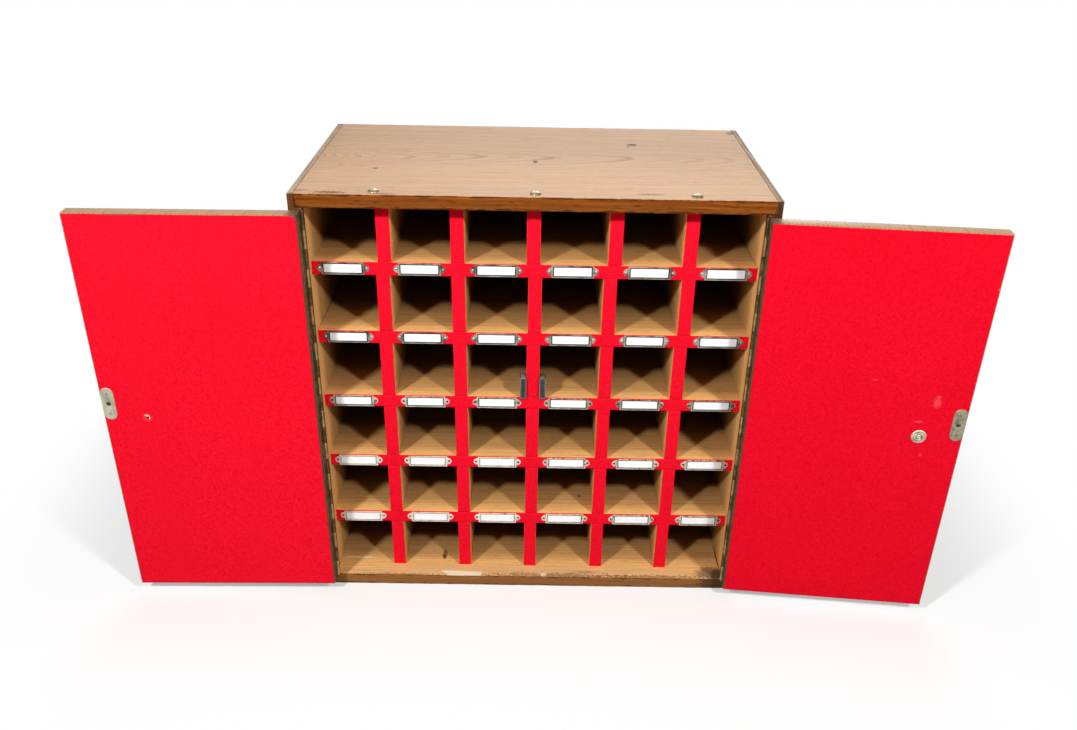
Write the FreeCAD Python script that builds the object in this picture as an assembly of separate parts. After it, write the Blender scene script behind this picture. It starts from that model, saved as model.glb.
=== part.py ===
import FreeCAD, Part
import math
import os

from FreeCAD import Vector

# A pigeonhole cabinet: a wooden case of six by six compartments behind two inset doors.
# Millimetres. The origin is the middle of the base, +Z is up and the front faces -Y.
# The doors are built closed and then swung open about their hinge pins.

# Carcass
cabinet_width = 610.0
cabinet_height = 610.0
cabinet_depth = 342.0
side_thickness = 16.0
top_thickness = 18.0
bottom_thickness = 18.0
back_thickness = 6.0
rebate_lip = 7.5
back_lap = 7.0
rebate_play = 0.1

# Grid of shelves and short dividers
rows = 6
columns = 6
shelf_thickness = 18.0
divider_thickness = 18.0
shelf_housing = 5.0
divider_housing = 3.0
housing_play = 0.15

# Dividers that were set off the even pitch by hand, by row from the top and place from the left
divider_shift = {
    (1, 1): 5.0,
    (1, 3): -1.5,
    (1, 4): 4.5,
    (1, 5): 1.5,
    (2, 1): 1.5,
    (2, 3): 1.0,
    (2, 5): 2.5,
    (6, 3): -1.0,
    (6, 5): -1.5,
}

# Baize
strip_thickness = 1.0
strip_joint = 0.3
lining_thickness = 1.0
lining_margin = 1.2

# Doors, with the angles at which they stand open
door_thickness = 18.0
door_play = 1.0
meeting_gap = 3.0
closing_room = 4.0
left_open_angle = 179.0
right_open_angle = 174.5

# Continuous hinges
leaf_thickness = 1.1
leaf_gap = 0.8
leaf_width = 15.0
pin_radius = 1.5
pin_play = 0.05
knuckle_length = 25.4
knuckle_play = 0.3
barrel_play = 0.35
hinge_screws_per_leaf = 5
hinge_screw_line = 9.5
hinge_screw_end = 36.0
hinge_screw_head = 2.4
hinge_screw_shank = 1.1
hinge_screw_cone = 1.3
hinge_screw_length = 11.0
screw_play = 0.1

# Label holders, cards and pins
holder_width = 55.0
holder_height = 16.4
holder_depth = 2.2
holder_sheet = 0.6
holder_rail = 2.4
holder_lower_rail = 1.8
holder_upper_rail = 1.5
holder_rise = 0.4
ear_reach = 6.5
ear_height = 11.0
ear_pin_share = 0.45
card_thickness = 0.4
card_play = 0.25
label_pin_head = 1.7
label_pin_crown = 0.9
label_pin_rise = 0.8
label_pin_shank = 0.6
label_pin_length = 9.0

# Strike plates on the doors
strike_width = 17.0
strike_height = 48.0
strike_thickness = 1.2
strike_edge = 10.0
strike_drop = 4.0
strike_screw_head = 3.0
strike_screw_shank = 1.5
strike_screw_cone = 1.1
strike_screw_length = 12.0

# Magnetic catches on the middle divider
catch_row = 3
catch_width = 8.6
catch_height = 32.0
catch_depth = 16.0
catch_wall = 1.2
catch_play = 0.1
catch_air_gap = 0.3
pole_thickness = 1.5
pole_reach = 0.8
magnet_recess = 1.0
tab_length = 13.0
tab_height = 16.0
tab_screw_share = 0.6
catch_screw_head = 2.6
catch_screw_shank = 1.2
catch_screw_cone = 1.1
catch_screw_length = 9.0

# Knobs and the screws that hold them through the doors
knob_radius = 15.0
knob_neck_radius = 7.0
knob_base_radius = 10.0
knob_base_height = 4.0
knob_neck_height = 11.0
knob_length = 25.0
knob_top_radius = 3.0
knob_bulge_angles = (-40, -15, 15, 40, 65)
knob_from_edge = 57.0
knob_screw_head = 3.4
knob_screw_shank = 2.0
knob_screw_cone = 1.5
knob_screw_grip = 12.0
knob_screw_sink = 4.0
knob_washer_radius = 10.0
knob_washer_height = 1.9

# Screws in cup washers along the front of the top board
top_screw_spread = 200.0
top_screw_from_front = 13.0
top_screw_head = 4.2
top_screw_crown = 1.4
top_screw_dome_shares = (0.3, 0.7)
top_screw_shank = 1.9
top_screw_cone = 1.8
top_screw_length = 13.0
cup_radius = 7.0
cup_height = 2.4
cup_rim = 0.7
seat_play = 0.1

# Pins round the back panel
back_pin_head = 1.8
back_pin_head_height = 0.7
back_pin_shank = 0.8
back_pin_length = 20.0

# Slip of pale wood let into the front corner of the bottom board
slip_length = 62.0
slip_depth = 11.0
slip_thickness = 4.0
slip_taper = 11.0
slip_left_end = -135.0
slip_play = 0.1

# Sides of the outlines of round parts, fewer on those that repeat
round_sides = 12
fastener_sides = 5
barrel_sides = 8
bore_sides = 6
ear_sides = 3
plate_end_sides = 6

# Planes and spaces that follow from the sizes above
front = -cabinet_depth / 2
rear = cabinet_depth / 2
half_width = cabinet_width / 2
inner_half = half_width - side_thickness
floor_z = bottom_thickness
ceiling_z = cabinet_height - top_thickness
back_face = rear - back_thickness
grid_back = back_face - rebate_play
grid_set_back = door_thickness + lining_thickness + closing_room + holder_depth + strip_thickness
grid_front = front + grid_set_back
strip_front = grid_front - strip_thickness
row_height = (ceiling_z - floor_z - (rows - 1) * shelf_thickness) / rows
column_width = (2 * inner_half - (columns - 1) * divider_thickness) / columns
column_pitch = column_width + divider_thickness
row_pitch = row_height + shelf_thickness
barrel_radius = pin_radius + pin_play + leaf_thickness
axis_x = -inner_half + leaf_thickness + leaf_gap / 2
axis_y = front - barrel_radius - barrel_play
door_hinge_edge = axis_x + leaf_gap / 2 + leaf_thickness
door_free_edge = -meeting_gap / 2
door_bottom = floor_z + door_play
door_top = ceiling_z - door_play
door_inner_face = front + door_thickness
lining_face = door_inner_face + lining_thickness
hinge_length = door_top - door_bottom
knuckle_count = 2 * max(1, round(hinge_length / (2 * knuckle_length)))
knuckle_pitch = hinge_length / knuckle_count


def box(x0, x1, y0, y1, z0, z1):
    """A block between two opposite corners."""
    return Part.makeBox(x1 - x0, y1 - y0, z1 - z0, Vector(x0, y0, z0))


def ring(radius, z, sides):
    """The corners of a regular outline about Z."""
    turns = [2 * math.pi * i / sides for i in range(sides)]
    return [Vector(radius * math.cos(a), radius * math.sin(a), z) for a in turns]


def flat_face(corners):
    """A flat face through its corners."""
    return Part.Face(Part.makePolygon(corners + corners[:1]))


def turned(levels, sides):
    """A turned solid with flat facets, from its radius at each height from one end to the other."""
    rings = [ring(radius, z, sides) for radius, z in levels]
    faces = [flat_face(rings[0]), flat_face(rings[-1])]
    for lower, upper in zip(rings, rings[1:]):
        for i in range(sides):
            j = (i + 1) % sides
            faces.append(flat_face([lower[i], lower[j], upper[j], upper[i]]))
    solid = Part.Solid(Part.Shell(faces))
    if solid.Volume < 0:
        solid.reverse()
    return solid.removeSplitter()


def aim(shape, place, heading):
    """Turn a shape that points along -Z to the heading, and put its origin at the place."""
    turned_copy = shape.copy()
    turn = FreeCAD.Rotation(Vector(0, 0, -1), heading)
    turned_copy.Placement = FreeCAD.Placement(place, turn)
    return turned_copy


def moved(shape, place):
    """A copy of a shape with its origin at the place."""
    copy = shape.copy()
    copy.translate(place)
    return copy


def mirrored(shape):
    """The shape on the other side of the cabinet's middle plane."""
    return shape.mirror(Vector(0, 0, 0), Vector(1, 0, 0))


def sunk_screw(head, shank, cone, length, sides, growth=0.0):
    """A countersunk screw with its flat head at the origin, or the hole for it when grown."""
    end = -length - growth
    return turned([(head + growth, 0), (shank + growth, -cone), (shank + growth, end)], sides)


def raised_screw(head, crown, shank, cone, length):
    """A round-topped countersunk screw whose head's edge is at the origin's height."""
    bow = (head * head + crown * crown) / (2 * crown)
    levels = []
    for share in top_screw_dome_shares:
        radius = head * share
        levels.append((radius, crown - bow + math.sqrt(bow * bow - radius * radius)))
    levels += [(head, 0), (shank, -cone), (shank, -length)]
    return turned(levels, round_sides)


def cup_washer(radius, height, head, shank, cone):
    """A dished ring standing on the origin, with a seat that follows a screw's cone."""
    body = turned([(radius, 0), (head + seat_play + cup_rim, height)], round_sides)
    wide = head + seat_play
    narrow = shank + seat_play
    seat = turned([(wide, height), (narrow, height - cone), (narrow, 0)], round_sides)
    return body.cut(seat)


def nail(head, crown, rise, shank, length):
    """A small pin with its head standing on the origin."""
    return turned([(crown, rise), (head, 0), (shank, 0), (shank, -length)], fastener_sides)


def divider_middle(row, place):
    """The middle of a divider, counted from the top row and from the left."""
    even = -inner_half + place * column_pitch - divider_thickness / 2
    return even + divider_shift.get((row, place), 0.0)


def shelf_bottom(shelf):
    """The underside of a shelf, counted from the top. The last one is the cabinet's floor."""
    return ceiling_z - shelf * row_pitch


def row_floor(row):
    """The surface that a row of dividers stands on."""
    return ceiling_z - (row - 1) * row_pitch - row_height


def row_ceiling(row):
    """The surface that a row of dividers reaches up to."""
    return ceiling_z - (row - 1) * row_pitch


def divider_grooves(row, z0, z1):
    """The grooves for one row of dividers between two heights."""
    half = divider_thickness / 2 + housing_play
    grooves = []
    for place in range(1, columns):
        x = divider_middle(row, place)
        grooves.append(box(x - half, x + half, grid_front, back_face, z0, z1))
    return grooves


def spread(count, first, last):
    """Evenly spaced places from the first to the last."""
    if count == 1:
        return [(first + last) / 2]
    return [first + (last - first) * i / (count - 1) for i in range(count)]


# Screws along the hinges, in the left hinge's closed place
screw_heights = spread(hinge_screws_per_leaf, door_bottom + hinge_screw_end, door_top - hinge_screw_end)
screw_y = axis_y + hinge_screw_line
hinge_screw_size = (hinge_screw_head, hinge_screw_shank, hinge_screw_cone, hinge_screw_length)
hinge_screw = sunk_screw(*hinge_screw_size, fastener_sides)
hinge_screw_hole = sunk_screw(*hinge_screw_size, fastener_sides, screw_play)
frame_screw_places = [Vector(axis_x - leaf_gap / 2, screw_y, z) for z in screw_heights]
door_screw_places = [Vector(axis_x + leaf_gap / 2, screw_y, z) for z in screw_heights]
towards_side = Vector(-1, 0, 0)
towards_door = Vector(1, 0, 0)
frame_screw_holes = [aim(hinge_screw_hole, p, towards_side) for p in frame_screw_places]
door_screw_holes = [aim(hinge_screw_hole, p, towards_door) for p in door_screw_places]


def side_panel():
    """The left side: rebated for the top, bottom and back boards and grooved for the shelves."""
    panel = box(-half_width, -inner_half, front, rear, 0, cabinet_height)
    lip = -half_width + rebate_lip
    cuts = [
        box(lip, -inner_half, front, rear, ceiling_z, cabinet_height),
        box(lip, -inner_half, front, rear, 0, floor_z),
        box(-inner_half - back_lap, -inner_half, back_face, rear, 0, cabinet_height),
    ]
    for shelf in range(1, rows):
        z = shelf_bottom(shelf)
        groove_floor = -inner_half - shelf_housing
        low = z - housing_play
        high = z + shelf_thickness + housing_play
        cuts.append(box(groove_floor, -inner_half, grid_front, back_face, low, high))
    return panel.cut(cuts + frame_screw_holes)


def straight_hole(shank, length):
    """The hole for a screw's shank, down from the origin."""
    radius = shank + screw_play
    return turned([(radius, 0), (radius, -length - screw_play)], round_sides)


def top_screw_places():
    """The points on the top board where its screws enter."""
    y = front + top_screw_from_front
    return [Vector(x, y, cabinet_height) for x in (-top_screw_spread, 0, top_screw_spread)]


def top_board():
    """The top: let into the sides, grooved below for the first row and rebated for the back."""
    end = half_width - rebate_lip - rebate_play
    board = box(-end, end, front, rear, ceiling_z, cabinet_height)
    cuts = divider_grooves(1, ceiling_z, ceiling_z + divider_housing)
    cuts.append(box(-end, end, back_face, rear, ceiling_z, ceiling_z + back_lap))
    pilot = straight_hole(top_screw_shank, top_screw_length)
    cuts += [moved(pilot, place) for place in top_screw_places()]
    return board.cut(cuts)


def slip_outline(growth):
    """The slip's plan on the bottom board, square at the right and drawn to a point at the left."""
    right = slip_left_end + slip_length + growth
    deep = front + slip_depth + growth
    return [
        Vector(slip_left_end - growth, deep, 0),
        Vector(slip_left_end + slip_taper - growth, front, 0),
        Vector(right, front, 0),
        Vector(right, deep, 0),
        Vector(slip_left_end - growth, deep, 0),
    ]


def slip_solid(growth):
    """The slip itself, or the recess for it when grown."""
    face = Part.Face(Part.makePolygon(slip_outline(growth)))
    face.translate(Vector(0, 0, floor_z - slip_thickness - growth))
    return face.extrude(Vector(0, 0, slip_thickness + growth))


def bottom_board():
    """The bottom: let into the sides, grooved above for the last row and rebated for the back."""
    end = half_width - rebate_lip - rebate_play
    board = box(-end, end, front, rear, 0, floor_z)
    cuts = divider_grooves(rows, floor_z - divider_housing, floor_z)
    cuts.append(box(-end, end, back_face, rear, floor_z - back_lap, floor_z))
    cuts.append(slip_solid(slip_play))
    return board.cut(cuts)


def back_panel():
    """The thin back, lapped into the rebates of the boards round it."""
    half = inner_half + back_lap - rebate_play
    low = floor_z - back_lap + rebate_play
    high = ceiling_z + back_lap - rebate_play
    return box(-half, half, back_face, rear, low, high)


def back_pins():
    """Pins through the edges of the back panel, level with the middles of the rows and columns."""
    pin = nail(back_pin_head, back_pin_head, back_pin_head_height, back_pin_shank, back_pin_length)
    inset = back_lap / 2
    places = []
    for row in range(1, rows + 1):
        z = row_floor(row) + row_height / 2
        places.append(Vector(-inner_half - inset, rear, z))
        places.append(Vector(inner_half + inset, rear, z))
    for column in range(columns):
        x = -inner_half + column_width / 2 + column * column_pitch
        places.append(Vector(x, rear, floor_z - inset))
        places.append(Vector(x, rear, ceiling_z + inset))
    return [aim(pin, place, Vector(0, -1, 0)) for place in places]


def catch_screw_place(side):
    """Where a catch's screw enters its mounting tab, on the left or right of the middle divider."""
    x = divider_middle(catch_row, columns // 2) + side * (divider_thickness / 2 + catch_wall)
    y = catch_back() + tab_length * tab_screw_share
    return Vector(x, y, catch_middle())


def catch_middle():
    """The height of the middle of the catches, which stand on the shelf below them."""
    return row_floor(catch_row) + catch_height / 2


def catch_front():
    """The front of the catch cases, behind the closed strike plates by the air gap and the poles."""
    return lining_face + strike_thickness + catch_air_gap + pole_reach


def catch_back():
    """The back of the catch cases, where the mounting tabs begin."""
    return catch_front() + catch_depth


catch_screw_size = (catch_screw_head, catch_screw_shank, catch_screw_cone, catch_screw_length)


def catch_screw_holes():
    """The holes for the catches' screws through the tabs and into the divider."""
    hole = sunk_screw(*catch_screw_size, fastener_sides, screw_play)
    return [aim(hole, catch_screw_place(side), Vector(-side, 0, 0)) for side in (-1, 1)]


def shelf_board(shelf):
    """A shelf: housed in the sides and grooved for the dividers above and below it."""
    z = shelf_bottom(shelf)
    end = inner_half + shelf_housing - housing_play
    board = box(-end, end, grid_front, grid_back, z, z + shelf_thickness)
    top = z + shelf_thickness
    cuts = divider_grooves(shelf, top - divider_housing, top)
    cuts += divider_grooves(shelf + 1, z, z + divider_housing)
    return board.cut(cuts)


def divider_row(row):
    """The short dividers of one row, each held in grooves at its foot and head."""
    reach = divider_housing - housing_play
    low = row_floor(row) - reach
    high = row_ceiling(row) + reach
    half = divider_thickness / 2
    boards = []
    for place in range(1, columns):
        x = divider_middle(row, place)
        board = box(x - half, x + half, grid_front, grid_back, low, high)
        if row == catch_row and place == columns // 2:
            board = board.cut(catch_screw_holes())
        boards.append(board)
    return boards


def shelf_strips():
    """Baize along the front edge of each shelf."""
    end = inner_half - strip_joint
    strips = []
    for shelf in range(1, rows):
        z = shelf_bottom(shelf)
        strips.append(box(-end, end, strip_front, grid_front, z, z + shelf_thickness))
    return strips


def divider_strips():
    """Baize up the front edge of each divider, cut between the strips of the shelves."""
    half = divider_thickness / 2
    strips = []
    for row in range(1, rows + 1):
        low = row_floor(row) + strip_joint
        high = row_ceiling(row) - strip_joint
        for place in range(1, columns):
            x = divider_middle(row, place)
            strips.append(box(x - half, x + half, strip_front, grid_front, low, high))
    return strips


def holder_places(shelf):
    """The backs of the label holders on one shelf's strip, one under each compartment."""
    z = shelf_bottom(shelf) + shelf_thickness / 2 + holder_rise
    first = -inner_half + column_width / 2
    return [Vector(first + i * column_pitch, strip_front, z) for i in range(columns)]


def label_holder():
    """A pressed card holder: a frame open at the back and the top, with a round ear at each end."""
    half = holder_width / 2
    low = -holder_height / 2
    high = holder_height / 2
    inner = half - holder_sheet
    frame = box(-half, half, -holder_depth, 0, low, high)
    pocket = box(-inner, inner, holder_sheet - holder_depth, 0, low + holder_sheet, high)
    sight = half - holder_rail
    sill = low + holder_lower_rail
    window = box(-sight, sight, -holder_depth, 0, sill, high - holder_upper_rail)
    holder = frame.cut([pocket, window])
    corners = []
    for i in range(ear_sides + 1):
        turn = math.pi * i / ear_sides
        reach = half + ear_reach * math.sin(turn)
        corners.append(Vector(reach, 0, ear_height / 2 * math.cos(turn)))
    ear = flat_face(corners).extrude(Vector(0, -holder_sheet, 0))
    return holder.fuse([ear, mirrored(ear)]).removeSplitter()


def label_card():
    """The card that stands in a holder's pocket, behind its window."""
    half = holder_width / 2 - holder_sheet - card_play
    low = -holder_height / 2 + holder_sheet
    face = holder_sheet - holder_depth + card_play
    return box(-half, half, face, face + card_thickness, low, holder_height / 2 - card_play)


def label_pins():
    """A pin through each ear of each label holder."""
    pin = nail(label_pin_head, label_pin_crown, label_pin_rise, label_pin_shank, label_pin_length)
    offset = holder_width / 2 + ear_reach * ear_pin_share
    pins = []
    for shelf in range(1, rows):
        for place in holder_places(shelf):
            for side in (-1, 1):
                seat = place + Vector(side * offset, -holder_sheet, 0)
                pins.append(aim(pin, seat, Vector(0, 1, 0)))
    return pins


def hinge_leaf(first):
    """A leaf of the left hinge folded shut, on the side's face, with every second knuckle."""
    plate_back = -leaf_gap / 2 - leaf_thickness
    plate_front = -leaf_gap / 2
    notch = barrel_radius + knuckle_play
    plate = box(plate_back, plate_front, notch, leaf_width, 0, hinge_length)
    knuckles = []
    for i in range(first, knuckle_count, 2):
        low = i * knuckle_pitch + knuckle_play / 2
        high = (i + 1) * knuckle_pitch - knuckle_play / 2
        knuckles.append(turned([(barrel_radius, low), (barrel_radius, high)], barrel_sides))
        knuckles.append(box(plate_back, plate_front, 0, notch, low, high))
    bore_corner = (pin_radius + pin_play) / math.cos(math.pi / bore_sides)
    bore = turned([(bore_corner, 0), (bore_corner, hinge_length)], bore_sides)
    return plate.fuse(knuckles).cut(bore).removeSplitter()


def hinge_place():
    """The foot of the left hinge's axis."""
    return Vector(axis_x, axis_y, door_bottom)


def frame_leaf():
    """The leaf that is screwed to the inside of the left panel."""
    return moved(hinge_leaf(0), hinge_place()).cut(frame_screw_holes)


def door_leaf():
    """The leaf that is screwed to the edge of the left door."""
    return moved(mirrored(hinge_leaf(1)), hinge_place()).cut(door_screw_holes)


def hinge_pin():
    """The pin through all the knuckles of the left hinge."""
    return Part.makeCylinder(pin_radius, hinge_length, hinge_place())


inwards = Vector(0, 1, 0)
outwards = Vector(0, -1, 0)
strike_place = Vector(
    door_free_edge - strike_edge,
    lining_face + strike_thickness,
    catch_middle() - strike_drop,
)
strike_screw_size = (strike_screw_head, strike_screw_shank, strike_screw_cone, strike_screw_length)
knob_place = Vector(door_free_edge - knob_from_edge, front, cabinet_height / 2)
knob_screw_length = door_thickness + lining_thickness + knob_screw_grip
knob_screw_place = Vector(knob_place.x, lining_face, knob_place.z)


def strike_screw_hole():
    """The hole for a strike plate's screw."""
    return aim(sunk_screw(*strike_screw_size, round_sides, screw_play), strike_place, outwards)


def sunk_knob_hole():
    """The hole for a knob's screw whose head lies deep in the door, open through the lining."""
    wide = knob_screw_head + screw_play
    narrow = knob_screw_shank + screw_play
    seat = -knob_screw_sink
    levels = [(wide, 0), (wide, seat), (narrow, seat - knob_screw_cone), (narrow, -knob_screw_length)]
    return aim(turned(levels, round_sides), knob_screw_place, outwards)


def washer_knob_hole():
    """The plain hole for a knob's screw that has a cup washer under its head."""
    return aim(straight_hole(knob_screw_shank, knob_screw_length), knob_screw_place, outwards)


def door_panel(knob_hole):
    """A door, cut for its knob's screw, its strike plate's screw and its hinge's screws."""
    panel = box(door_hinge_edge, door_free_edge, front, door_inner_face, door_bottom, door_top)
    return panel.cut([knob_hole, strike_screw_hole()] + door_screw_holes)


def door_lining(knob_hole):
    """The baize over a door's inner face, stopped just short of the edges."""
    m = lining_margin
    left = door_hinge_edge + m
    right = door_free_edge - m
    lining = box(left, right, door_inner_face, lining_face, door_bottom + m, door_top - m)
    return lining.cut([knob_hole, strike_screw_hole()])


def strike_plate():
    """A round-ended plate that meets the magnet, with a countersunk hole in the middle."""
    r = strike_width / 2
    straight = strike_height / 2 - r
    corners = []
    for middle, first in ((straight, 0), (-straight, math.pi)):
        for i in range(plate_end_sides + 1):
            turn = first + math.pi * i / plate_end_sides
            corners.append(Vector(r * math.cos(turn), 0, middle + r * math.sin(turn)))
    plate = flat_face(corners).extrude(Vector(0, -strike_thickness, 0))
    return moved(plate, strike_place).cut(strike_screw_hole())


def strike_screw():
    """The screw through the middle of a strike plate."""
    return aim(sunk_screw(*strike_screw_size, round_sides), strike_place, outwards)


def knob():
    """A turned knob on a door's outer face, bored for the screw that comes through the door."""
    head_height = knob_length - knob_neck_height
    levels = [
        (knob_base_radius, 0),
        (knob_base_radius, knob_base_height),
        (knob_neck_radius, (knob_base_height + knob_neck_height) / 2),
        (knob_neck_radius, knob_neck_height),
    ]
    middle = knob_neck_height + head_height / 2
    for angle in knob_bulge_angles:
        lean = math.radians(angle)
        levels.append((knob_radius * math.cos(lean), middle + head_height / 2 * math.sin(lean)))
    levels.append((knob_top_radius, knob_length))
    bore_radius = knob_screw_shank + screw_play
    bore = turned([(bore_radius, 0), (bore_radius, knob_screw_grip + screw_play)], round_sides)
    return aim(turned(levels, round_sides).cut(bore), knob_place, inwards)


def sunk_knob_screw():
    """The left knob's screw, with its head at the bottom of its hole."""
    length = knob_screw_length - knob_screw_sink
    screw = sunk_screw(knob_screw_head, knob_screw_shank, knob_screw_cone, length, round_sides)
    return aim(screw, knob_screw_place + outwards * knob_screw_sink, outwards)


def washer_knob_screw():
    """The right knob's screw, raised on its cup washer."""
    length = knob_screw_length + knob_washer_height
    screw = sunk_screw(knob_screw_head, knob_screw_shank, knob_screw_cone, length, round_sides)
    return aim(screw, knob_screw_place + inwards * knob_washer_height, outwards)


def knob_washer():
    """The cup washer under the right knob's screw."""
    washer = cup_washer(
        knob_washer_radius, knob_washer_height, knob_screw_head, knob_screw_shank, knob_screw_cone
    )
    return aim(washer, knob_screw_place, outwards)


def catch_case(side):
    """A catch's case, open at the front, with a tab that is screwed to the divider."""
    near = divider_thickness / 2
    far = near + catch_width
    low = row_floor(catch_row)
    high = low + catch_height
    face = catch_front()
    back = catch_back()
    shell = box(near, far, face, back, low, high)
    hollow = box(
        near + catch_wall, far - catch_wall, face, back - catch_wall, low + catch_wall, high - catch_wall
    )
    tab_low = catch_middle() - tab_height / 2
    tab = box(near, near + catch_wall, back, back + tab_length, tab_low, tab_low + tab_height)
    return to_divider_side(shell.cut(hollow).fuse(tab).removeSplitter(), side).cut(catch_screw_holes())


def to_divider_side(shape, side):
    """Put a shape that was built beside a divider at the middle on the left or right of the real one."""
    turned_shape = shape if side > 0 else mirrored(shape)
    return moved(turned_shape, Vector(divider_middle(catch_row, columns // 2), 0, 0))


def catch_insides(side):
    """The two pole plates of a catch and the magnet between them."""
    low = row_floor(catch_row) + catch_wall + catch_play
    high = row_floor(catch_row) + catch_height - catch_wall - catch_play
    back = catch_back() - catch_wall - catch_play
    left = divider_thickness / 2 + catch_wall + catch_play
    right = divider_thickness / 2 + catch_width - catch_wall - catch_play
    face = catch_front() - pole_reach
    inner_pole = box(left, left + pole_thickness, face, back, low, high)
    outer_pole = box(right - pole_thickness, right, face, back, low, high)
    magnet_left = left + pole_thickness + catch_play
    magnet_right = right - pole_thickness - catch_play
    magnet_face = catch_front() + magnet_recess
    magnet = box(magnet_left, magnet_right, magnet_face, back, low, high)
    poles = [to_divider_side(inner_pole, side), to_divider_side(outer_pole, side)]
    return poles, to_divider_side(magnet, side)


def catch_screw(side):
    """The screw through a catch's tab into the divider."""
    screw = sunk_screw(*catch_screw_size, fastener_sides)
    return aim(screw, catch_screw_place(side), Vector(-side, 0, 0))


def top_screw_cups():
    """The cup washers on the top board."""
    cup = cup_washer(cup_radius, cup_height, top_screw_head, top_screw_shank, top_screw_cone)
    return [moved(cup, place) for place in top_screw_places()]


def top_screws():
    """The round-topped screws in the cup washers, short enough to stay within the top board."""
    length = top_screw_length + cup_height
    screw = raised_screw(top_screw_head, top_screw_crown, top_screw_shank, top_screw_cone, length)
    return [moved(screw, place + Vector(0, 0, cup_height)) for place in top_screw_places()]


def swing(shape, side, angle):
    """A closed left-hand door piece as it stands open, on the left or mirrored to the right."""
    swung = shape.copy() if side < 0 else mirrored(shape)
    pivot = Vector(side * abs(axis_x), axis_y, 0)
    swung.rotate(pivot, Vector(0, 0, 1), side * angle)
    return swung


def write(name, solids):
    """Write one node as a STEP file of one or more separate solids."""
    shape = solids[0] if len(solids) == 1 else Part.makeCompound(solids)
    shape.exportStep("parts/" + name + ".step")


def door_set(side, angle, knob_hole, knob_screw):
    """The pieces that swing with one door, by name."""
    pieces = {
        "door_panel": [door_panel(knob_hole)],
        "door_baize": [door_lining(knob_hole)],
        "hinge_door_leaf": [door_leaf()],
        "hinge_door_screws": [aim(hinge_screw, p, towards_door) for p in door_screw_places],
        "strike_plate": [strike_plate()],
        "strike_screw": [strike_screw()],
        "knob": [knob()],
        "knob_screw": [knob_screw],
    }
    return {name: [swing(s, side, angle) for s in solids] for name, solids in pieces.items()}


def all_nodes():
    """Every node of the cabinet and its solids."""
    left_panel = side_panel()
    frame_screws = [aim(hinge_screw, p, towards_side) for p in frame_screw_places]
    nodes = {
        "left_side_panel": [left_panel],
        "right_side_panel": [mirrored(left_panel)],
        "top_board": [top_board()],
        "bottom_board": [bottom_board()],
        "back_panel": [back_panel()],
        "back_pins": back_pins(),
        "edge_slip": [slip_solid(0.0)],
    }
    for shelf in range(1, rows):
        nodes["shelf_" + str(shelf)] = [shelf_board(shelf)]
    for row in range(1, rows + 1):
        nodes["dividers_row_" + str(row)] = divider_row(row)
    nodes["shelf_baize"] = shelf_strips()
    nodes["divider_baize"] = divider_strips()
    holder = label_holder()
    card = label_card()
    cards = []
    for shelf in range(1, rows):
        places = holder_places(shelf)
        nodes["label_holders_row_" + str(shelf)] = [moved(holder, place) for place in places]
        cards += [moved(card, place) for place in places]
    nodes["label_cards"] = cards
    nodes["label_pins"] = label_pins()
    nodes["top_screws"] = top_screws()
    nodes["top_screw_cups"] = top_screw_cups()
    left_poles, left_magnet = catch_insides(-1)
    right_poles, right_magnet = catch_insides(1)
    nodes["left_catch_case"] = [catch_case(-1)]
    nodes["right_catch_case"] = [catch_case(1)]
    nodes["catch_pole_plates"] = left_poles + right_poles
    nodes["catch_magnets"] = [left_magnet, right_magnet]
    nodes["catch_screws"] = [catch_screw(-1), catch_screw(1)]
    nodes["left_hinge_frame_leaf"] = [frame_leaf()]
    nodes["right_hinge_frame_leaf"] = [mirrored(frame_leaf())]
    nodes["hinge_frame_screws"] = frame_screws + [mirrored(s) for s in frame_screws]
    nodes["left_hinge_pin"] = [hinge_pin()]
    nodes["right_hinge_pin"] = [mirrored(hinge_pin())]
    left = door_set(-1, left_open_angle, sunk_knob_hole(), sunk_knob_screw())
    right = door_set(1, right_open_angle, washer_knob_hole(), washer_knob_screw())
    right["knob_washer"] = [swing(knob_washer(), 1, right_open_angle)]
    for name, solids in left.items():
        nodes["left_" + name] = solids
    for name, solids in right.items():
        nodes["right_" + name] = solids
    return nodes


os.makedirs("parts", exist_ok=True)
for node_name, node_solids in all_nodes().items():
    write(node_name, node_solids)
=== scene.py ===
"""Looks for a pigeonhole cabinet: worn varnished boards, red baize, card holders and old hinges.

Lengths are in metres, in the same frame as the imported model: the origin is the middle of the
base, +Z is up and the open front faces -Y. The two doors stand open.
"""

import logging
import math
from dataclasses import dataclass, field
from enum import Enum
from typing import Callable, Sequence

import bmesh
import bpy
from bmesh.types import BMEdge, BMesh, BMFace, BMVert
from bpy.types import Material, NodeSocket, Object
from mathutils import Euler, Matrix, Vector, noise


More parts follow.
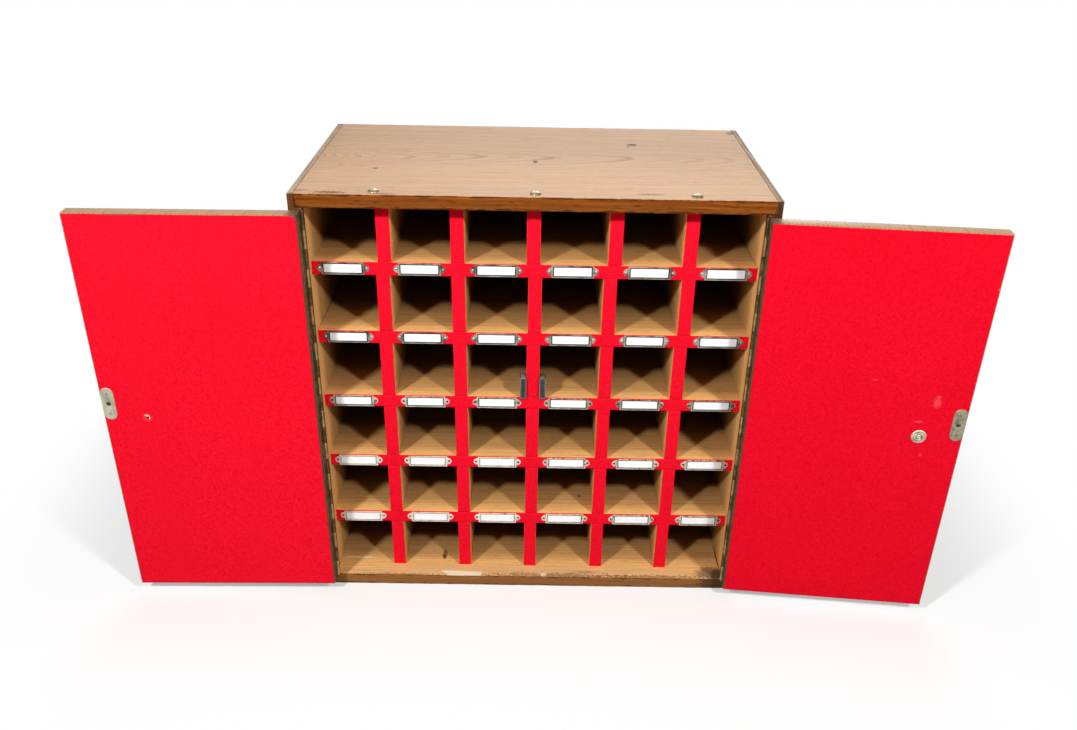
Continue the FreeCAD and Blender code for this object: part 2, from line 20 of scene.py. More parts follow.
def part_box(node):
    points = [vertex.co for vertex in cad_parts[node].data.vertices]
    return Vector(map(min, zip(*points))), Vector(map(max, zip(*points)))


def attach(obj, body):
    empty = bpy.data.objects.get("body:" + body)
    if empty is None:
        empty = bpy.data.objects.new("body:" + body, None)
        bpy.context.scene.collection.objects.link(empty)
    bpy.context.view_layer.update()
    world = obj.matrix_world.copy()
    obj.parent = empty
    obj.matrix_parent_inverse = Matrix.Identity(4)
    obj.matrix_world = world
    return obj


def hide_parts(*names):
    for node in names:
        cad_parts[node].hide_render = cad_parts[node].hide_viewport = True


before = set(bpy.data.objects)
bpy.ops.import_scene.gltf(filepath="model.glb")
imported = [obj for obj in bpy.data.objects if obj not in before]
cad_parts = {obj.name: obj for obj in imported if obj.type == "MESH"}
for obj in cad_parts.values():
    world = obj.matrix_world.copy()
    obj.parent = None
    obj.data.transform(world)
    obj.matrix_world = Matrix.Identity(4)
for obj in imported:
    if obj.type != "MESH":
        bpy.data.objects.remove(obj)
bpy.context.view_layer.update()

log = logging.getLogger("pigeonhole_cabinet")

Colour = tuple[float, float, float]
Profile = Sequence[tuple[float, float]]

# How much of a face's normal points a way before the face counts as facing it
FACING = 0.8
# Points and planes nearer than these count as one
WELD = 1e-6
HAIR = 1e-7
# Cells of noise to the metre along the fibres of wood and across them
SLOW_DRIFT = (1.3, 6.0)
RIPPLES = (11.0, 50.0)
STREAKS = (9.0, 420.0)
PORES = (75.0, 1250.0)
# Makes the unevenness along the boards the same in every run
SEED = 5


class Grain(Enum):
    """Which way the fibres of a board run, as the places of its length, width and thickness."""

    ACROSS_FRONT = ("X", "Y", "Z")
    FRONT_TO_BACK = ("Y", "Z", "X")
    UPRIGHT_SIDE = ("Z", "Y", "X")
    UPRIGHT_FRONT = ("Z", "X", "Y")


class Side(Enum):
    """The two halves of the cabinet's front."""

    LEFT = -1
    RIGHT = 1

    @property
    def word(self) -> str:
        """The side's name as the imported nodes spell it."""
        return self.name.lower()


# Shader building


@dataclass(frozen=True)
class Field:
    """A value that varies over a piece, with the arithmetic that the finishes use."""

    brush: "Painter"
    socket: NodeSocket

    def __add__(self, other: "Field | float") -> "Field":
        """The sum with another value."""
        return self.brush.math("ADD", self, other)

    def __sub__(self, other: "Field | float") -> "Field":
        """What is left when another value is taken away."""
        return self.brush.math("SUBTRACT", self, other)

    def __mul__(self, other: "Field | float") -> "Field":
        """The product with another value."""
        return self.brush.math("MULTIPLY", self, other)

    def __truediv__(self, other: "Field | float") -> "Field":
        """The value divided by another one."""
        return self.brush.math("DIVIDE", self, other)


class Painter:
    """A material under construction, with short calls for the nodes that the finishes use."""

    def __init__(self, name: str) -> None:
        """Start an empty material with one surface shader.

        Args:
            name: The material's name.
        """
        self.material: Material = bpy.data.materials.new(name)
        self.material.use_nodes = True
        self.nodes = self.material.node_tree.nodes
        self.links = self.material.node_tree.links
        self.surface = self.nodes["Principled BSDF"]

    def feed(self, socket: NodeSocket, value: object) -> None:
        """Set a socket to a value, or link it to a field.

        Args:
            socket: The input to set.
            value: A field, a number, a vector or a colour.
        """
        if isinstance(value, Field):
            self.links.new(value.socket, socket)
        elif isinstance(value, tuple) and len(value) == 3 and socket.type == "RGBA":
            socket.default_value = (*value, 1.0)
        else:
            socket.default_value = value

    def place(self) -> Field:
        """The point on the piece, in its own coordinates."""
        return Field(self, self.nodes.new("ShaderNodeTexCoord").outputs["Object"])

    def attribute(self, name: str, output: str) -> Field:
        """A value that was stored on the mesh.

        Args:
            name: The attribute's name.
            output: Which output to read, such as Fac or Vector.

        Returns:
            The attribute.
        """
        node = self.nodes.new("ShaderNodeAttribute")
        node.attribute_name = name
        return Field(self, node.outputs[output])

    def math(self, operation: str, *values: object, clamp: bool = False) -> Field:
        """One step of arithmetic.

        Args:
            operation: The operation's name.
            values: Numbers or fields.
            clamp: Whether the result is kept between 0 and 1.

        Returns:
            The result.
        """
        node = self.nodes.new("ShaderNodeMath")
        node.operation = operation
        node.use_clamp = clamp
        for socket, value in zip(node.inputs, values):
            self.feed(socket, value)
        return Field(self, node.outputs[0])

    def vector(self, operation: str, *values: object) -> Field:
        """One step of vector arithmetic.

        Args:
            operation: The operation's name.
            values: Vectors or fields.

        Returns:
            The vector, or the number for a length.
        """
        node = self.nodes.new("ShaderNodeVectorMath")
        node.operation = operation
        for socket, value in zip(node.inputs, values):
            self.feed(socket, value)
        return Field(self, node.outputs["Value" if operation == "LENGTH" else "Vector"])

    def split(self, vector: Field) -> dict[str, Field]:
        """Take a vector apart.

        Args:
            vector: The vector.

        Returns:
            Its three parts by letter.
        """
        node = self.nodes.new("ShaderNodeSeparateXYZ")
        self.feed(node.inputs[0], vector)
        return {letter: Field(self, node.outputs[letter]) for letter in "XYZ"}

    def join(self, *parts: object) -> Field:
        """Put a vector together.

        Args:
            parts: Its three parts in order.

        Returns:
            The vector.
        """
        node = self.nodes.new("ShaderNodeCombineXYZ")
        for socket, value in zip(node.inputs, parts):
            self.feed(socket, value)
        return Field(self, node.outputs[0])

    def clouds(self, place: Field, scale: float, detail: float = 2.0, rough: float = 0.5) -> Field:
        """Soft random clouds from 0 to 1.

        Args:
            place: The point to look up.
            scale: How many clouds there are to the metre.
            detail: How many finer layers are added.
            rough: How strong the finer layers are.

        Returns:
            The clouds.
        """
        node = self.nodes.new("ShaderNodeTexNoise")
        for name, value in (("Vector", place), ("Scale", scale), ("Detail", detail), ("Roughness", rough)):
            self.feed(node.inputs[name], value)
        return Field(self, node.outputs["Fac"])

    def dice(self, value: Field) -> Field:
        """Throw a number for each whole value.

        Args:
            value: The whole values.

        Returns:
            A random number from 0 to 1 for each.
        """
        node = self.nodes.new("ShaderNodeTexWhiteNoise")
        node.noise_dimensions = "1D"
        self.feed(node.inputs["W"], value)
        return Field(self, node.outputs["Value"])

    def span(self, value: Field, low: float, high: float, start: float = 0.0, end: float = 1.0) -> Field:
        """Map a range smoothly onto another one and hold it there.

        Args:
            value: The number to map.
            low: Where the range starts.
            high: Where the range ends.
            start: The result at the start.
            end: The result at the end.

        Returns:
            The mapped number.
        """
        node = self.nodes.new("ShaderNodeMapRange")
        node.interpolation_type = "SMOOTHSTEP"
        for socket, number in zip(node.inputs, (value, low, high, start, end)):
            self.feed(socket, number)
        return Field(self, node.outputs[0])

    def mix(self, share: object, first: object, second: object, blend: str = "MIX") -> Field:
        """Mix two colours.

        Args:
            share: How much of the second colour there is.
            first: A colour or field.
            second: A colour or field.
            blend: How the two are combined.

        Returns:
            The mixed colour.
        """
        node = self.nodes.new("ShaderNodeMix")
        node.data_type = "RGBA"
        node.blend_type = blend
        self.feed(node.inputs[0], share)
        self.feed(node.inputs[6], first)
        self.feed(node.inputs[7], second)
        return Field(self, node.outputs[2])

    def tone(self, colour: Field, level: Field) -> Field:
        """Make a colour darker or lighter by a number."""
        return self.mix(1.0, colour, self.join(level, level, level), "MULTIPLY")

    def relief(self, height: Field, strength: float, distance: float) -> None:
        """Let a height stand out on the surface.

        Args:
            height: The height from 0 to 1.
            strength: How much of it shows.
            distance: The real height in metres.
        """
        node = self.nodes.new("ShaderNodeBump")
        for name, value in (("Strength", strength), ("Distance", distance), ("Height", height)):
            self.feed(node.inputs[name], value)
        self.links.new(node.outputs[0], self.surface.inputs["Normal"])

    def finish(self, **values: object) -> Material:
        """Set the surface shader's inputs.

        Args:
            values: The inputs by name, with _ for a space.

        Returns:
            The material.
        """
        for name, value in values.items():
            self.feed(self.surface.inputs[name.replace("_", " ")], value)
        return self.material


@dataclass(frozen=True)
class Mark:
    """A stain, knot, scuff or bare patch at one place on a piece."""

    place: tuple[float, float, float]
    radii: tuple[float, float, float]
    colour: Colour
    strength: float
    ragged: float = 0.6

    def paint(self, brush: Painter, place: Field, under: Field) -> Field:
        """Lay the mark over a colour.

        Args:
            brush: The material under construction.
            place: The point on the piece.
            under: The colour below the mark.

        Returns:
            The colour with the mark.
        """
        away = brush.vector("DIVIDE", brush.vector("SUBTRACT", place, self.place), self.radii)
        edge = (brush.clouds(place, 420.0, 3.0) - 0.5) * (self.ragged * 2)
        distance = brush.vector("LENGTH", away) + edge
        return brush.mix(brush.span(distance, 1.0, 0.55, 0.0, self.strength), under, self.colour)


@dataclass(frozen=True)
class WoodFinish:
    """Varnished wood with rings, fibres, pores, worn edges and single marks, and inside the compartments
    painted shade and light.
    """

    name: str
    grain: Grain
    early: Colour
    late: Colour
    worn: Colour
    ring_gap: float = 0.0050
    pith_depth: float = 0.055
    pith_across: float = 0.0
    tilt: float = 0.035
    sway: float = 0.012
    figure: float = 0.8
    wear: float = 0.55
    roughness: float = 0.45
    coat: float = 0.15
    pore: float = 0.35
    specular: float = 0.25
    # Below 1: painted shade deeper inside the compartments, down to this share, and painted light along the
    # front edge
    back_shade: float = 1.0
    knee: float = 0.0
    knee_start: float = 0.10
    squeeze: float = 1.0
    contrast: float = 0.85
    stroke: float = 0.15
    ripple: float = 0.0045
    marks: tuple[Mark, ...] = ()

    def fibres(self, brush: Painter) -> tuple[Field, Field, Field]:
        """The point in the board's own directions.

        Args:
            brush: The material under construction.

        Returns:
            The places along the fibres, across them and through the board.
        """
        shifted = brush.vector("ADD", brush.place(), brush.attribute("grain_shift", "Vector"))
        parts = brush.split(shifted)
        along, across, through = (parts[letter] for letter in self.grain.value)
        return along, across, through

    def rings(self, brush: Painter, run: tuple[Field, Field, Field], sway: Field, ripple: Field) -> Field:
        """The dark late wood of the year rings, where the board cuts through them.

        Args:
            brush: The material under construction.
            run: The point in the board's own directions.
            sway: How far the tree leans there.
            ripple: How far the rings waver there.

        Returns:
            How much late wood there is.
        """
        along, across, through = run
        depth = along * self.tilt + self.pith_depth
        if self.knee:
            beyond = brush.math("MINIMUM", along + self.knee_start, 0.0)
            depth = depth + beyond * beyond * self.knee
        rise = through + depth + sway
        width = (across + self.pith_across + (sway * 0.8 + ripple)) * self.squeeze
        count = brush.math("SQRT", rise * rise + width * width) / self.ring_gap
        ring = brush.math("FRACT", count)
        chance = brush.span(brush.dice(brush.math("FLOOR", count)), 0.0, 1.0, 0.2, 1.0)
        late = brush.span(ring, self.stroke, 0.86) * brush.span(ring, 1.0, 0.93)
        return late * chance * self.figure

    def make(self) -> Material:
        """Build the finish.

        Returns:
            The material.
        """
        brush = Painter(self.name)
        run = self.fibres(brush)

        def stretched(cells: tuple[float, float]) -> Field:
            """The point with one scale along the fibres and another one across them."""
            return brush.join(*(part * k for part, k in zip(run, (*cells, cells[1]))))

        slow = stretched(SLOW_DRIFT)
        sway = (brush.clouds(slow, 1.0, 2.0) - 0.5) * (self.sway * 2)
        ripple = (brush.clouds(stretched(RIPPLES), 1.0, 2.0) - 0.5) * self.ripple
        streak = brush.clouds(stretched(STREAKS), 1.0, 4.0, 0.65)
        pores = brush.span(brush.clouds(stretched(PORES), 1.0, 1.0), 0.62, 0.74, 0.0, self.pore)
        broad = brush.clouds(slow, 0.7, 2.0)
        colour = brush.mix(self.rings(brush, run, sway, ripple), self.early, self.late)
        colour = brush.tone(colour, streak * self.contrast + broad * 0.5 + (0.75 - self.contrast / 2))
        colour = brush.mix(pores, colour, tuple(c * 0.3 for c in self.late))
        place = brush.place()
        patches = brush.span(brush.clouds(place, 55.0, 4.0, 0.65), 0.3, 0.7, -0.85, 0.25)
        rubbed = brush.attribute("wear", "Fac") + patches
        colour = brush.mix(brush.span(rubbed, 0.35, 0.8, 0.0, self.wear), colour, self.worn)
        # Painted shade that darkens the wood towards the back, and painted light that brightens it up to 1.6
        # times at the front edge
        if self.back_shade < 1.0:
            inwards = brush.split(place)["Y"]
            painted_depth_shade = brush.span(inwards, -0.120, -0.04, 1.0, self.back_shade)
            colour = brush.tone(colour, painted_depth_shade * brush.span(inwards, -0.144, -0.112, 1.6, 0.95))
        for mark in self.marks:
            colour = mark.paint(brush, place, colour)
        gloss = brush.span(streak, 0.2, 0.8, self.roughness - 0.07, self.roughness + 0.12)
        brush.relief(streak - pores * 1.2, 0.35, 0.0003)
        return brush.finish(
            Base_Color=colour, Roughness=gloss, Specular_IOR_Level=self.specular,
            Coat_Weight=self.coat, Coat_Roughness=0.3,
        )


@dataclass(frozen=True)
class BaizeFinish:
    """Felted wool cloth: matted fibres, slight patches of shade and a soft sheen."""

    name: str
    colour: Colour
    deep: Colour
    marks: tuple[Mark, ...] = ()
    lint: Colour = (0.95, 0.12, 0.13)
    sheen: Colour = (1.0, 0.25, 0.25)

    def make(self) -> Material:
        """Build the finish.

        Returns:
            The material.
        """
        brush = Painter(self.name)
        place = brush.place()
        fuzz = brush.clouds(place, 1500.0, 3.0, 0.7)
        tufts = brush.clouds(place, 460.0, 3.0, 0.6)
        patches = brush.clouds(place, 9.0, 3.0, 0.55)
        mottle = brush.clouds(place, 170.0, 3.0, 0.7)
        colour = brush.mix(brush.span(fuzz * 0.5 + tufts * 0.5, 0.36, 0.58), self.deep, self.colour)
        colour = brush.mix(brush.span(patches, 0.35, 0.75, 0.0, 0.16), colour, self.deep)
        colour = brush.mix(brush.span(mottle, 0.40, 0.7, 0.0, 0.35), colour, self.deep)
        specks = brush.span(brush.clouds(place, 950.0, 1.0), 0.76, 0.84, 0.0, 0.25)
        colour = brush.mix(specks, colour, self.lint)
        for mark in self.marks:
            colour = mark.paint(brush, place, colour)
        brush.relief(fuzz + tufts * 0.8, 0.55, 0.0004)
        return brush.finish(
            Base_Color=colour, Roughness=0.95, Specular_IOR_Level=0.04,
            Sheen_Weight=0.02, Sheen_Roughness=0.6, Sheen_Tint=self.sheen,
        )


@dataclass(frozen=True)
class MetalFinish:
    """Plated or plain metal with tarnish, small specks, rubbed places and painted highlights."""

    name: str
    bright: Colour
    tarnish: Colour
    speck: Colour
    metallic: float = 1.0
    roughness: float = 0.35
    tarnish_share: float = 0.6
    speck_share: float = 0.5
    cloud_scale: float = 160.0
    worse_to_right: float = 0.0
    speck_start: float = 0.60
    speck_scale: float = 7.0
    marks: tuple[Mark, ...] = ()

    def make(self) -> Material:
        """Build the finish.

        Returns:
            The material.
        """
        brush = Painter(self.name)
        place = brush.place()
        film = brush.clouds(place, self.cloud_scale, 4.0, 0.65)
        if self.worse_to_right:
            worse = self.worse_to_right
            film = film + brush.span(brush.split(place)["X"], -0.08, 0.18, -0.4 * worse, worse)
        grit = brush.clouds(place, self.cloud_scale * self.speck_scale, 2.0)
        colour = brush.mix(brush.span(film, 0.35, 0.65, 0.0, self.tarnish_share), self.bright, self.tarnish)
        specks = brush.span(grit, self.speck_start, self.speck_start + 0.1)
        colour = brush.mix(specks * brush.span(film, 0.42, 0.62, 0.0, self.speck_share), colour, self.speck)
        # The wear attribute brightens rubbed places, and on the hinges and the holders' lower rails it lays
        # a painted highlight
        rub_and_highlight = brush.attribute("wear", "Fac") * brush.span(grit, 0.25, 0.6, 0.2, 0.75)
        colour = brush.mix(rub_and_highlight, colour, self.bright)
        for mark in self.marks:
            colour = mark.paint(brush, place, colour)
        gloss = brush.span(film, 0.3, 0.7, self.roughness, min(1.0, self.roughness + 0.25))
        brush.relief(film + grit, 0.25, 0.0002)
        return brush.finish(Base_Color=colour, Metallic=self.metallic, Roughness=gloss)


@dataclass(frozen=True)
class PlainFinish:
    """Card or moulded magnet: one colour with faint clouds and a fine surface."""

    name: str
    colour: Colour
    shade: Colour
    roughness: float

    def make(self) -> Material:
        """Build the finish.

        Returns:
            The material.
        """
        brush = Painter(self.name)
        place = brush.place()
        broad = brush.clouds(place, 60.0, 3.0, 0.6)
        fine = brush.clouds(place, 800.0, 3.0, 0.6)
        faint = (brush.span(broad, 0.4, 0.75, 0.0, 0.6), brush.span(fine, 0.5, 0.8, 0.0, 0.3))
        colour = brush.mix(brush.math("ADD", *faint, clamp=True), self.colour, self.shade)
        rub_and_highlight = brush.attribute("wear", "Fac") * 0.3
        colour = brush.mix(rub_and_highlight, colour, tuple(min(1.0, c * 2.2 + 0.02) for c in self.colour))
        gloss = brush.span(fine, 0.3, 0.7, self.roughness - 0.08, self.roughness + 0.08)
        brush.relief(fine, 0.3, 0.0001)
        return brush.finish(Base_Color=colour, Roughness=gloss)


# Mesh building


class Shape:
    """A mesh under construction, with the stored values that the finishes read."""

    def __init__(self) -> None:
        """Start an empty mesh."""
        self.mesh: BMesh = bmesh.new()
        self.mesh.verts.layers.float.new("wear")
        self.mesh.verts.layers.float_vector.new("grain_shift")

    def block(self, low: Vector, high: Vector) -> "Shape":
        """A block between two opposite corners.

        Args:
            low: The lowest corner.
            high: The highest corner.

        Returns:
            This shape.
        """
        size = high - low
        scale = Matrix.Diagonal((size.x, size.y, size.z, 1.0))
        bmesh.ops.create_cube(self.mesh, size=1.0, matrix=Matrix.Translation((low + high) / 2) @ scale)
        return self

    def push(self, faces: Sequence[BMFace], reach: Vector | tuple[float, float, float]) -> None:
        """Extrude a patch of faces.

        Args:
            faces: The patch.
            reach: How far it goes and which way.
        """
        grown = bmesh.ops.extrude_face_region(self.mesh, geom=faces)
        ends = [v for v in grown["geom"] if isinstance(v, BMVert)]
        bmesh.ops.translate(self.mesh, verts=ends, vec=reach)

    def outwards(self) -> None:
        """Turn every face outwards."""
        bmesh.ops.recalc_face_normals(self.mesh, faces=self.mesh.faces)

    def prism(self, outline: Sequence[Vector], sweep: Vector) -> "Shape":
        """Sweep a flat outline along a straight line.

        Args:
            outline: The corners in order.
            sweep: How far and which way to go.

        Returns:
            This shape.
        """
        face = self.mesh.faces.new([self.mesh.verts.new(corner) for corner in outline])
        self.push([face], sweep)
        self.outwards()
        return self

    def lathe(self, profile: Profile, steps: int) -> "Shape":
        """Turn a profile of radii and heights about Z.

        Args:
            profile: Radius and height of each point, from one end to the other.
            steps: How many facets go round.

        Returns:
            This shape.
        """
        points = [self.mesh.verts.new((radius, 0.0, height)) for radius, height in profile]
        edges = [self.mesh.edges.new(pair) for pair in zip(points, points[1:])]
        bmesh.ops.spin(
            self.mesh, geom=points + edges, cent=(0, 0, 0), axis=(0, 0, 1),
            angle=math.tau, steps=steps, use_merge=True,
        )
        bmesh.ops.remove_doubles(self.mesh, verts=self.mesh.verts, dist=WELD)
        bmesh.ops.dissolve_degenerate(self.mesh, edges=self.mesh.edges, dist=HAIR)
        self.outwards()
        return self

    def subdivide_lengthways(self, cuts: int) -> "Shape":
        """Divide every edge that runs along X.

        Args:
            cuts: How many new points each edge gets.

        Returns:
            This shape.
        """
        along = [e for e in self.mesh.edges if self.runs_lengthways(e)]
        bmesh.ops.subdivide_edges(self.mesh, edges=along, cuts=cuts, use_grid_fill=True)
        return self

    @staticmethod
    def runs_lengthways(edge: BMEdge) -> bool:
        """Whether an edge runs along X."""
        reach = edge.verts[1].co - edge.verts[0].co
        return reach.length > HAIR and abs(reach.x) > 0.999 * reach.length

    def bevel(self, edges: Sequence[BMEdge], width: float, segments: int) -> None:
        """Round some edges.

        Args:
            edges: The edges.
            width: The width of the rounding.
            segments: How many facets it has.
        """
        bmesh.ops.bevel(
            self.mesh, geom=edges, offset=width, segments=segments,
            profile=0.5, affect="EDGES", material=-1, clamp_overlap=True,
        )

    def round_edges(
        self, width: float, segments: int = 2, keep: Callable[[BMEdge], bool] = lambda e: False,
    ) -> "Shape":
        """Round the sharp edges.

        Args:
            width: The width of the rounding.
            segments: How many facets it has.
            keep: Says which sharp edges stay as they are.

        Returns:
            This shape.
        """
        sharp = [e for e in self.mesh.edges if e.is_manifold and e.calc_face_angle(0.0) > 0.5]
        self.bevel([e for e in sharp if not keep(e)], width, segments)
        return self

    def rub_and_highlight(self, share: Callable[[Vector], float]) -> "Shape":
        """Set how rubbed each point is; on the hinges and the holders' lower rails this places a painted
        highlight.

        Args:
            share: Gives the wear at a point, from 0 to 1.

        Returns:
            This shape.
        """
        wear = self.mesh.verts.layers.float["wear"]
        for vert in self.mesh.verts:
            vert[wear] = float(share(vert.co))
        return self

    def fade_wear(self, reach: float) -> "Shape":
        """Set each large face in from its border, so that wear fades towards its middle.

        Args:
            reach: How far the wear goes in from an edge.

        Returns:
            This shape.
        """
        large = [f for f in self.mesh.faces if f.calc_area() > 9.0 * reach * reach]
        result = bmesh.ops.inset_region(
            self.mesh, faces=large, thickness=reach, use_even_offset=True, use_boundary=True,
        )
        rims = set(result["faces"])
        self.rub_and_highlight(lambda p: 1.0)
        wear = self.mesh.verts.layers.float["wear"]
        for face in large:
            if face.is_valid and face not in rims:
                for vert in face.verts:
                    vert[wear] = 0.0
        return self

    def jitter(self, amount: float, scale: float, seed: int) -> "Shape":
        """Move points a little, so that no edge is dead straight, and none of them below the floor.

        Args:
            amount: The largest move.
            scale: How quickly the moves change along an edge.
            seed: Sets one piece apart from another.

        Returns:
            This shape.
        """
        for vert in self.mesh.verts:
            vert.co += noise.noise_vector(vert.co * scale + Vector((seed * 7.3, seed, 0.0))) * amount
            vert.co.z = max(vert.co.z, 0.0)
        return self

    def shift_grain(self, seed: int | None = None) -> "Shape":
        """Give the board its own place in the tree.

        Args:
            seed: Sets its grain apart from other boards. Without it the grain is about the board's middle.

        Returns:
            This shape.
        """
        spots = [v.co for v in self.mesh.verts]
        low = Vector([min(p[i] for p in spots) for i in range(3)])
        high = Vector([max(p[i] for p in spots) for i in range(3)])
        shift = (low + high) / -2
        if seed is not None:
            longest = max(range(3), key=lambda i: high[i] - low[i])
            chance = Vector([0.045 * math.sin(seed * 2.1 + i * 1.9) for i in range(3)])
            chance[longest] = (seed * 0.37) % 1.0 - 0.5
            shift += chance
        layer = self.mesh.verts.layers.float_vector["grain_shift"]
        for vert in self.mesh.verts:
            vert[layer] = shift
        return self

    def move(self, matrix: Matrix) -> "Shape":
        """Move, turn or mirror everything so far.

        Args:
            matrix: Where it goes.

        Returns:
            This shape.
        """
        bmesh.ops.transform(self.mesh, matrix=matrix, verts=self.mesh.verts)
        if matrix.determinant() < 0:
            bmesh.ops.reverse_faces(self.mesh, faces=self.mesh.faces)
        return self

    def add(self, other: "Shape", matrix: Matrix | None = None) -> "Shape":
        """Join another shape on to this one.

        Args:
            other: The shape to copy in.
            matrix: Where it goes, without mirroring.

        Returns:
            This shape.
        """
        copy = bpy.data.meshes.new("part_of_piece")
        other.mesh.to_mesh(copy)
        if matrix is not None:
            copy.transform(matrix)
        self.mesh.from_mesh(copy)
        bpy.data.meshes.remove(copy)
        return self

    def cut_across(self, point: Vector, normal: Vector) -> None:
        """Add edges where a plane passes through the mesh.

        Args:
            point: A point on the plane.
            normal: The plane's normal.
        """
        everything = self.mesh.verts[:] + self.mesh.edges[:] + self.mesh.faces[:]
        bmesh.ops.bisect_plane(self.mesh, geom=everything, plane_co=point, plane_no=normal, dist=HAIR)

    def slot(self, width: float, depth: float) -> "Shape":
        """Cut a screwdriver slot across the top of a turned head.

        Args:
            width: The slot's width.
            depth: The slot's depth.

        Returns:
            This shape.
        """
        for offset in (-width / 2, width / 2):
            self.cut_across(Vector((0, offset, 0)), Vector((0, 1, 0)))
        strip = [
            f for f in self.mesh.faces
            if abs(f.calc_center_median().y) < width / 2 and f.normal.z > 0.3
        ]
        self.push(strip, (0, 0, -depth))
        bmesh.ops.delete(self.mesh, geom=[f for f in strip if f.is_valid], context="FACES")
        return self

    def paint(self, index: int, test: Callable[[BMFace], bool]) -> "Shape":
        """Give some faces another of the piece's finishes.

        Args:
            index: Which finish.
            test: Says which faces get it.

        Returns:
            This shape.
        """
        for face in self.mesh.faces:
            if test(face):
                face.material_index = index
        return self

    def paint_front(self, index: int) -> "Shape":
        """Give the faces that look towards -Y another of the piece's finishes."""
        return self.paint(index, lambda f: f.normal.y < -FACING)

    def bore(self, centre: Vector, radius: float, depth: float) -> "Shape":
        """Sink a round blind hole into the face that looks towards +Y.

        Args:
            centre: The hole's middle on that face.
            radius: The hole's radius.
            depth: How deep it goes.

        Returns:
            This shape.
        """
        for normal in (Vector((1, 0, 0)), Vector((0, 0, 1))):
            for reach in (-1.7 * radius, 1.7 * radius):
                self.cut_across(centre + normal * reach, normal)
        self.mesh.normal_update()

        def nearest(faces: Sequence[BMFace]) -> BMFace:
            """The face whose middle is nearest to the hole's."""
            return min(faces, key=lambda f: (f.calc_center_median() - centre).length)

        mouth = nearest([f for f in self.mesh.faces if f.normal.y > 0.9])
        bmesh.ops.inset_individual(self.mesh, faces=[mouth], thickness=0.4 * radius)
        cuts = 4
        bmesh.ops.subdivide_edges(self.mesh, edges=mouth.edges[:], cuts=cuts)
        mouth = nearest([f for f in self.mesh.faces if len(f.verts) == 4 * (cuts + 1)])
        for vert in mouth.verts:
            away = Vector((vert.co.x - centre.x, 0, vert.co.z - centre.z)).normalized()
            vert.co = Vector((centre.x, vert.co.y, centre.z)) + away * radius
        self.push([mouth], (0, -depth, 0))
        if mouth.is_valid:
            bmesh.ops.delete(self.mesh, geom=[mouth], context="FACES_ONLY")
        return self

    def piece(self, name: str, *materials: Material, smooth_angle: float = 40.0) -> Object:
        """Make the finished object.

        Args:
            name: The object's name.
            materials: Its finishes.
            smooth_angle: Edges sharper than this many degrees stay sharp.

        Returns:
            The object, at the origin.
        """
        data = bpy.data.meshes.new(name)
        self.mesh.to_mesh(data)
        self.mesh.free()
        data.shade_smooth()
        data.set_sharp_from_angle(angle=math.radians(smooth_angle))
        for material in materials:
            data.materials.append(material)
        thing = bpy.data.objects.new(name, data)
        bpy.context.scene.collection.objects.link(thing)
        return thing


def settle(thing: Object, body: str, slot: str, *nodes: str) -> None:
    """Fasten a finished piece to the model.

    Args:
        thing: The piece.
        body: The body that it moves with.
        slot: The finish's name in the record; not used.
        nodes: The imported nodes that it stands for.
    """
    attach(thing, body)
    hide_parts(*nodes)
    log.info("%s: %d faces, on %s", thing.name, len(thing.data.polygons), body)


def dress(node: str, material: Material) -> None:
    """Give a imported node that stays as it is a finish.

    Args:
        node: The node's name.
        material: Its finish.
    """
    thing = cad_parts[node]
    thing.data.materials.clear()
    thing.data.materials.append(material)
    log.info("%s keeps its packed form", node)


def board(low: Vector, high: Vector, seed: int, round_over: float = 0.0008, fade: float = 0.0045) -> Shape:
    """A plain board with softened edges.

    Args:
        low: Its lowest corner.
        high: Its highest corner.
        seed: Sets its grain apart from other boards.
        round_over: The width of the softened edges.
        fade: How far wear reaches in.

    Returns:
        The board.
    """
    return Shape().block(low, high).round_edges(round_over).fade_wear(fade).shift_grain(seed)


def interior(name: str, grain: Grain, marks: tuple[Mark, ...] = ()) -> WoodFinish:
    """The golden finish inside the compartments, with painted shade towards the back and painted light at
    the front edge.

    Args:
        name: The finish's name.
        grain: Which way the fibres run.
        marks: Single marks on it.

    Returns:
        The finish.
    """
    return WoodFinish(
        name, grain, (0.53, 0.290, 0.104), (0.34, 0.162, 0.047), (0.62, 0.40, 0.18),
        figure=0.42, wear=0.4, roughness=0.5, coat=0.0, pore=0.5, specular=0.06,
        # back_shade sets how dark the painted shade becomes deep inside
        back_shade=0.42, contrast=0.9, marks=marks,
    )


def heading(place: Vector, direction: Vector) -> Matrix:
    """Stand a shape that points along +Z on a place, pointing in a direction."""
    turn = Vector((0, 0, 1)).rotation_difference(direction).to_matrix().to_4x4()
    return Matrix.Translation(place) @ turn


# The cabinet's sizes


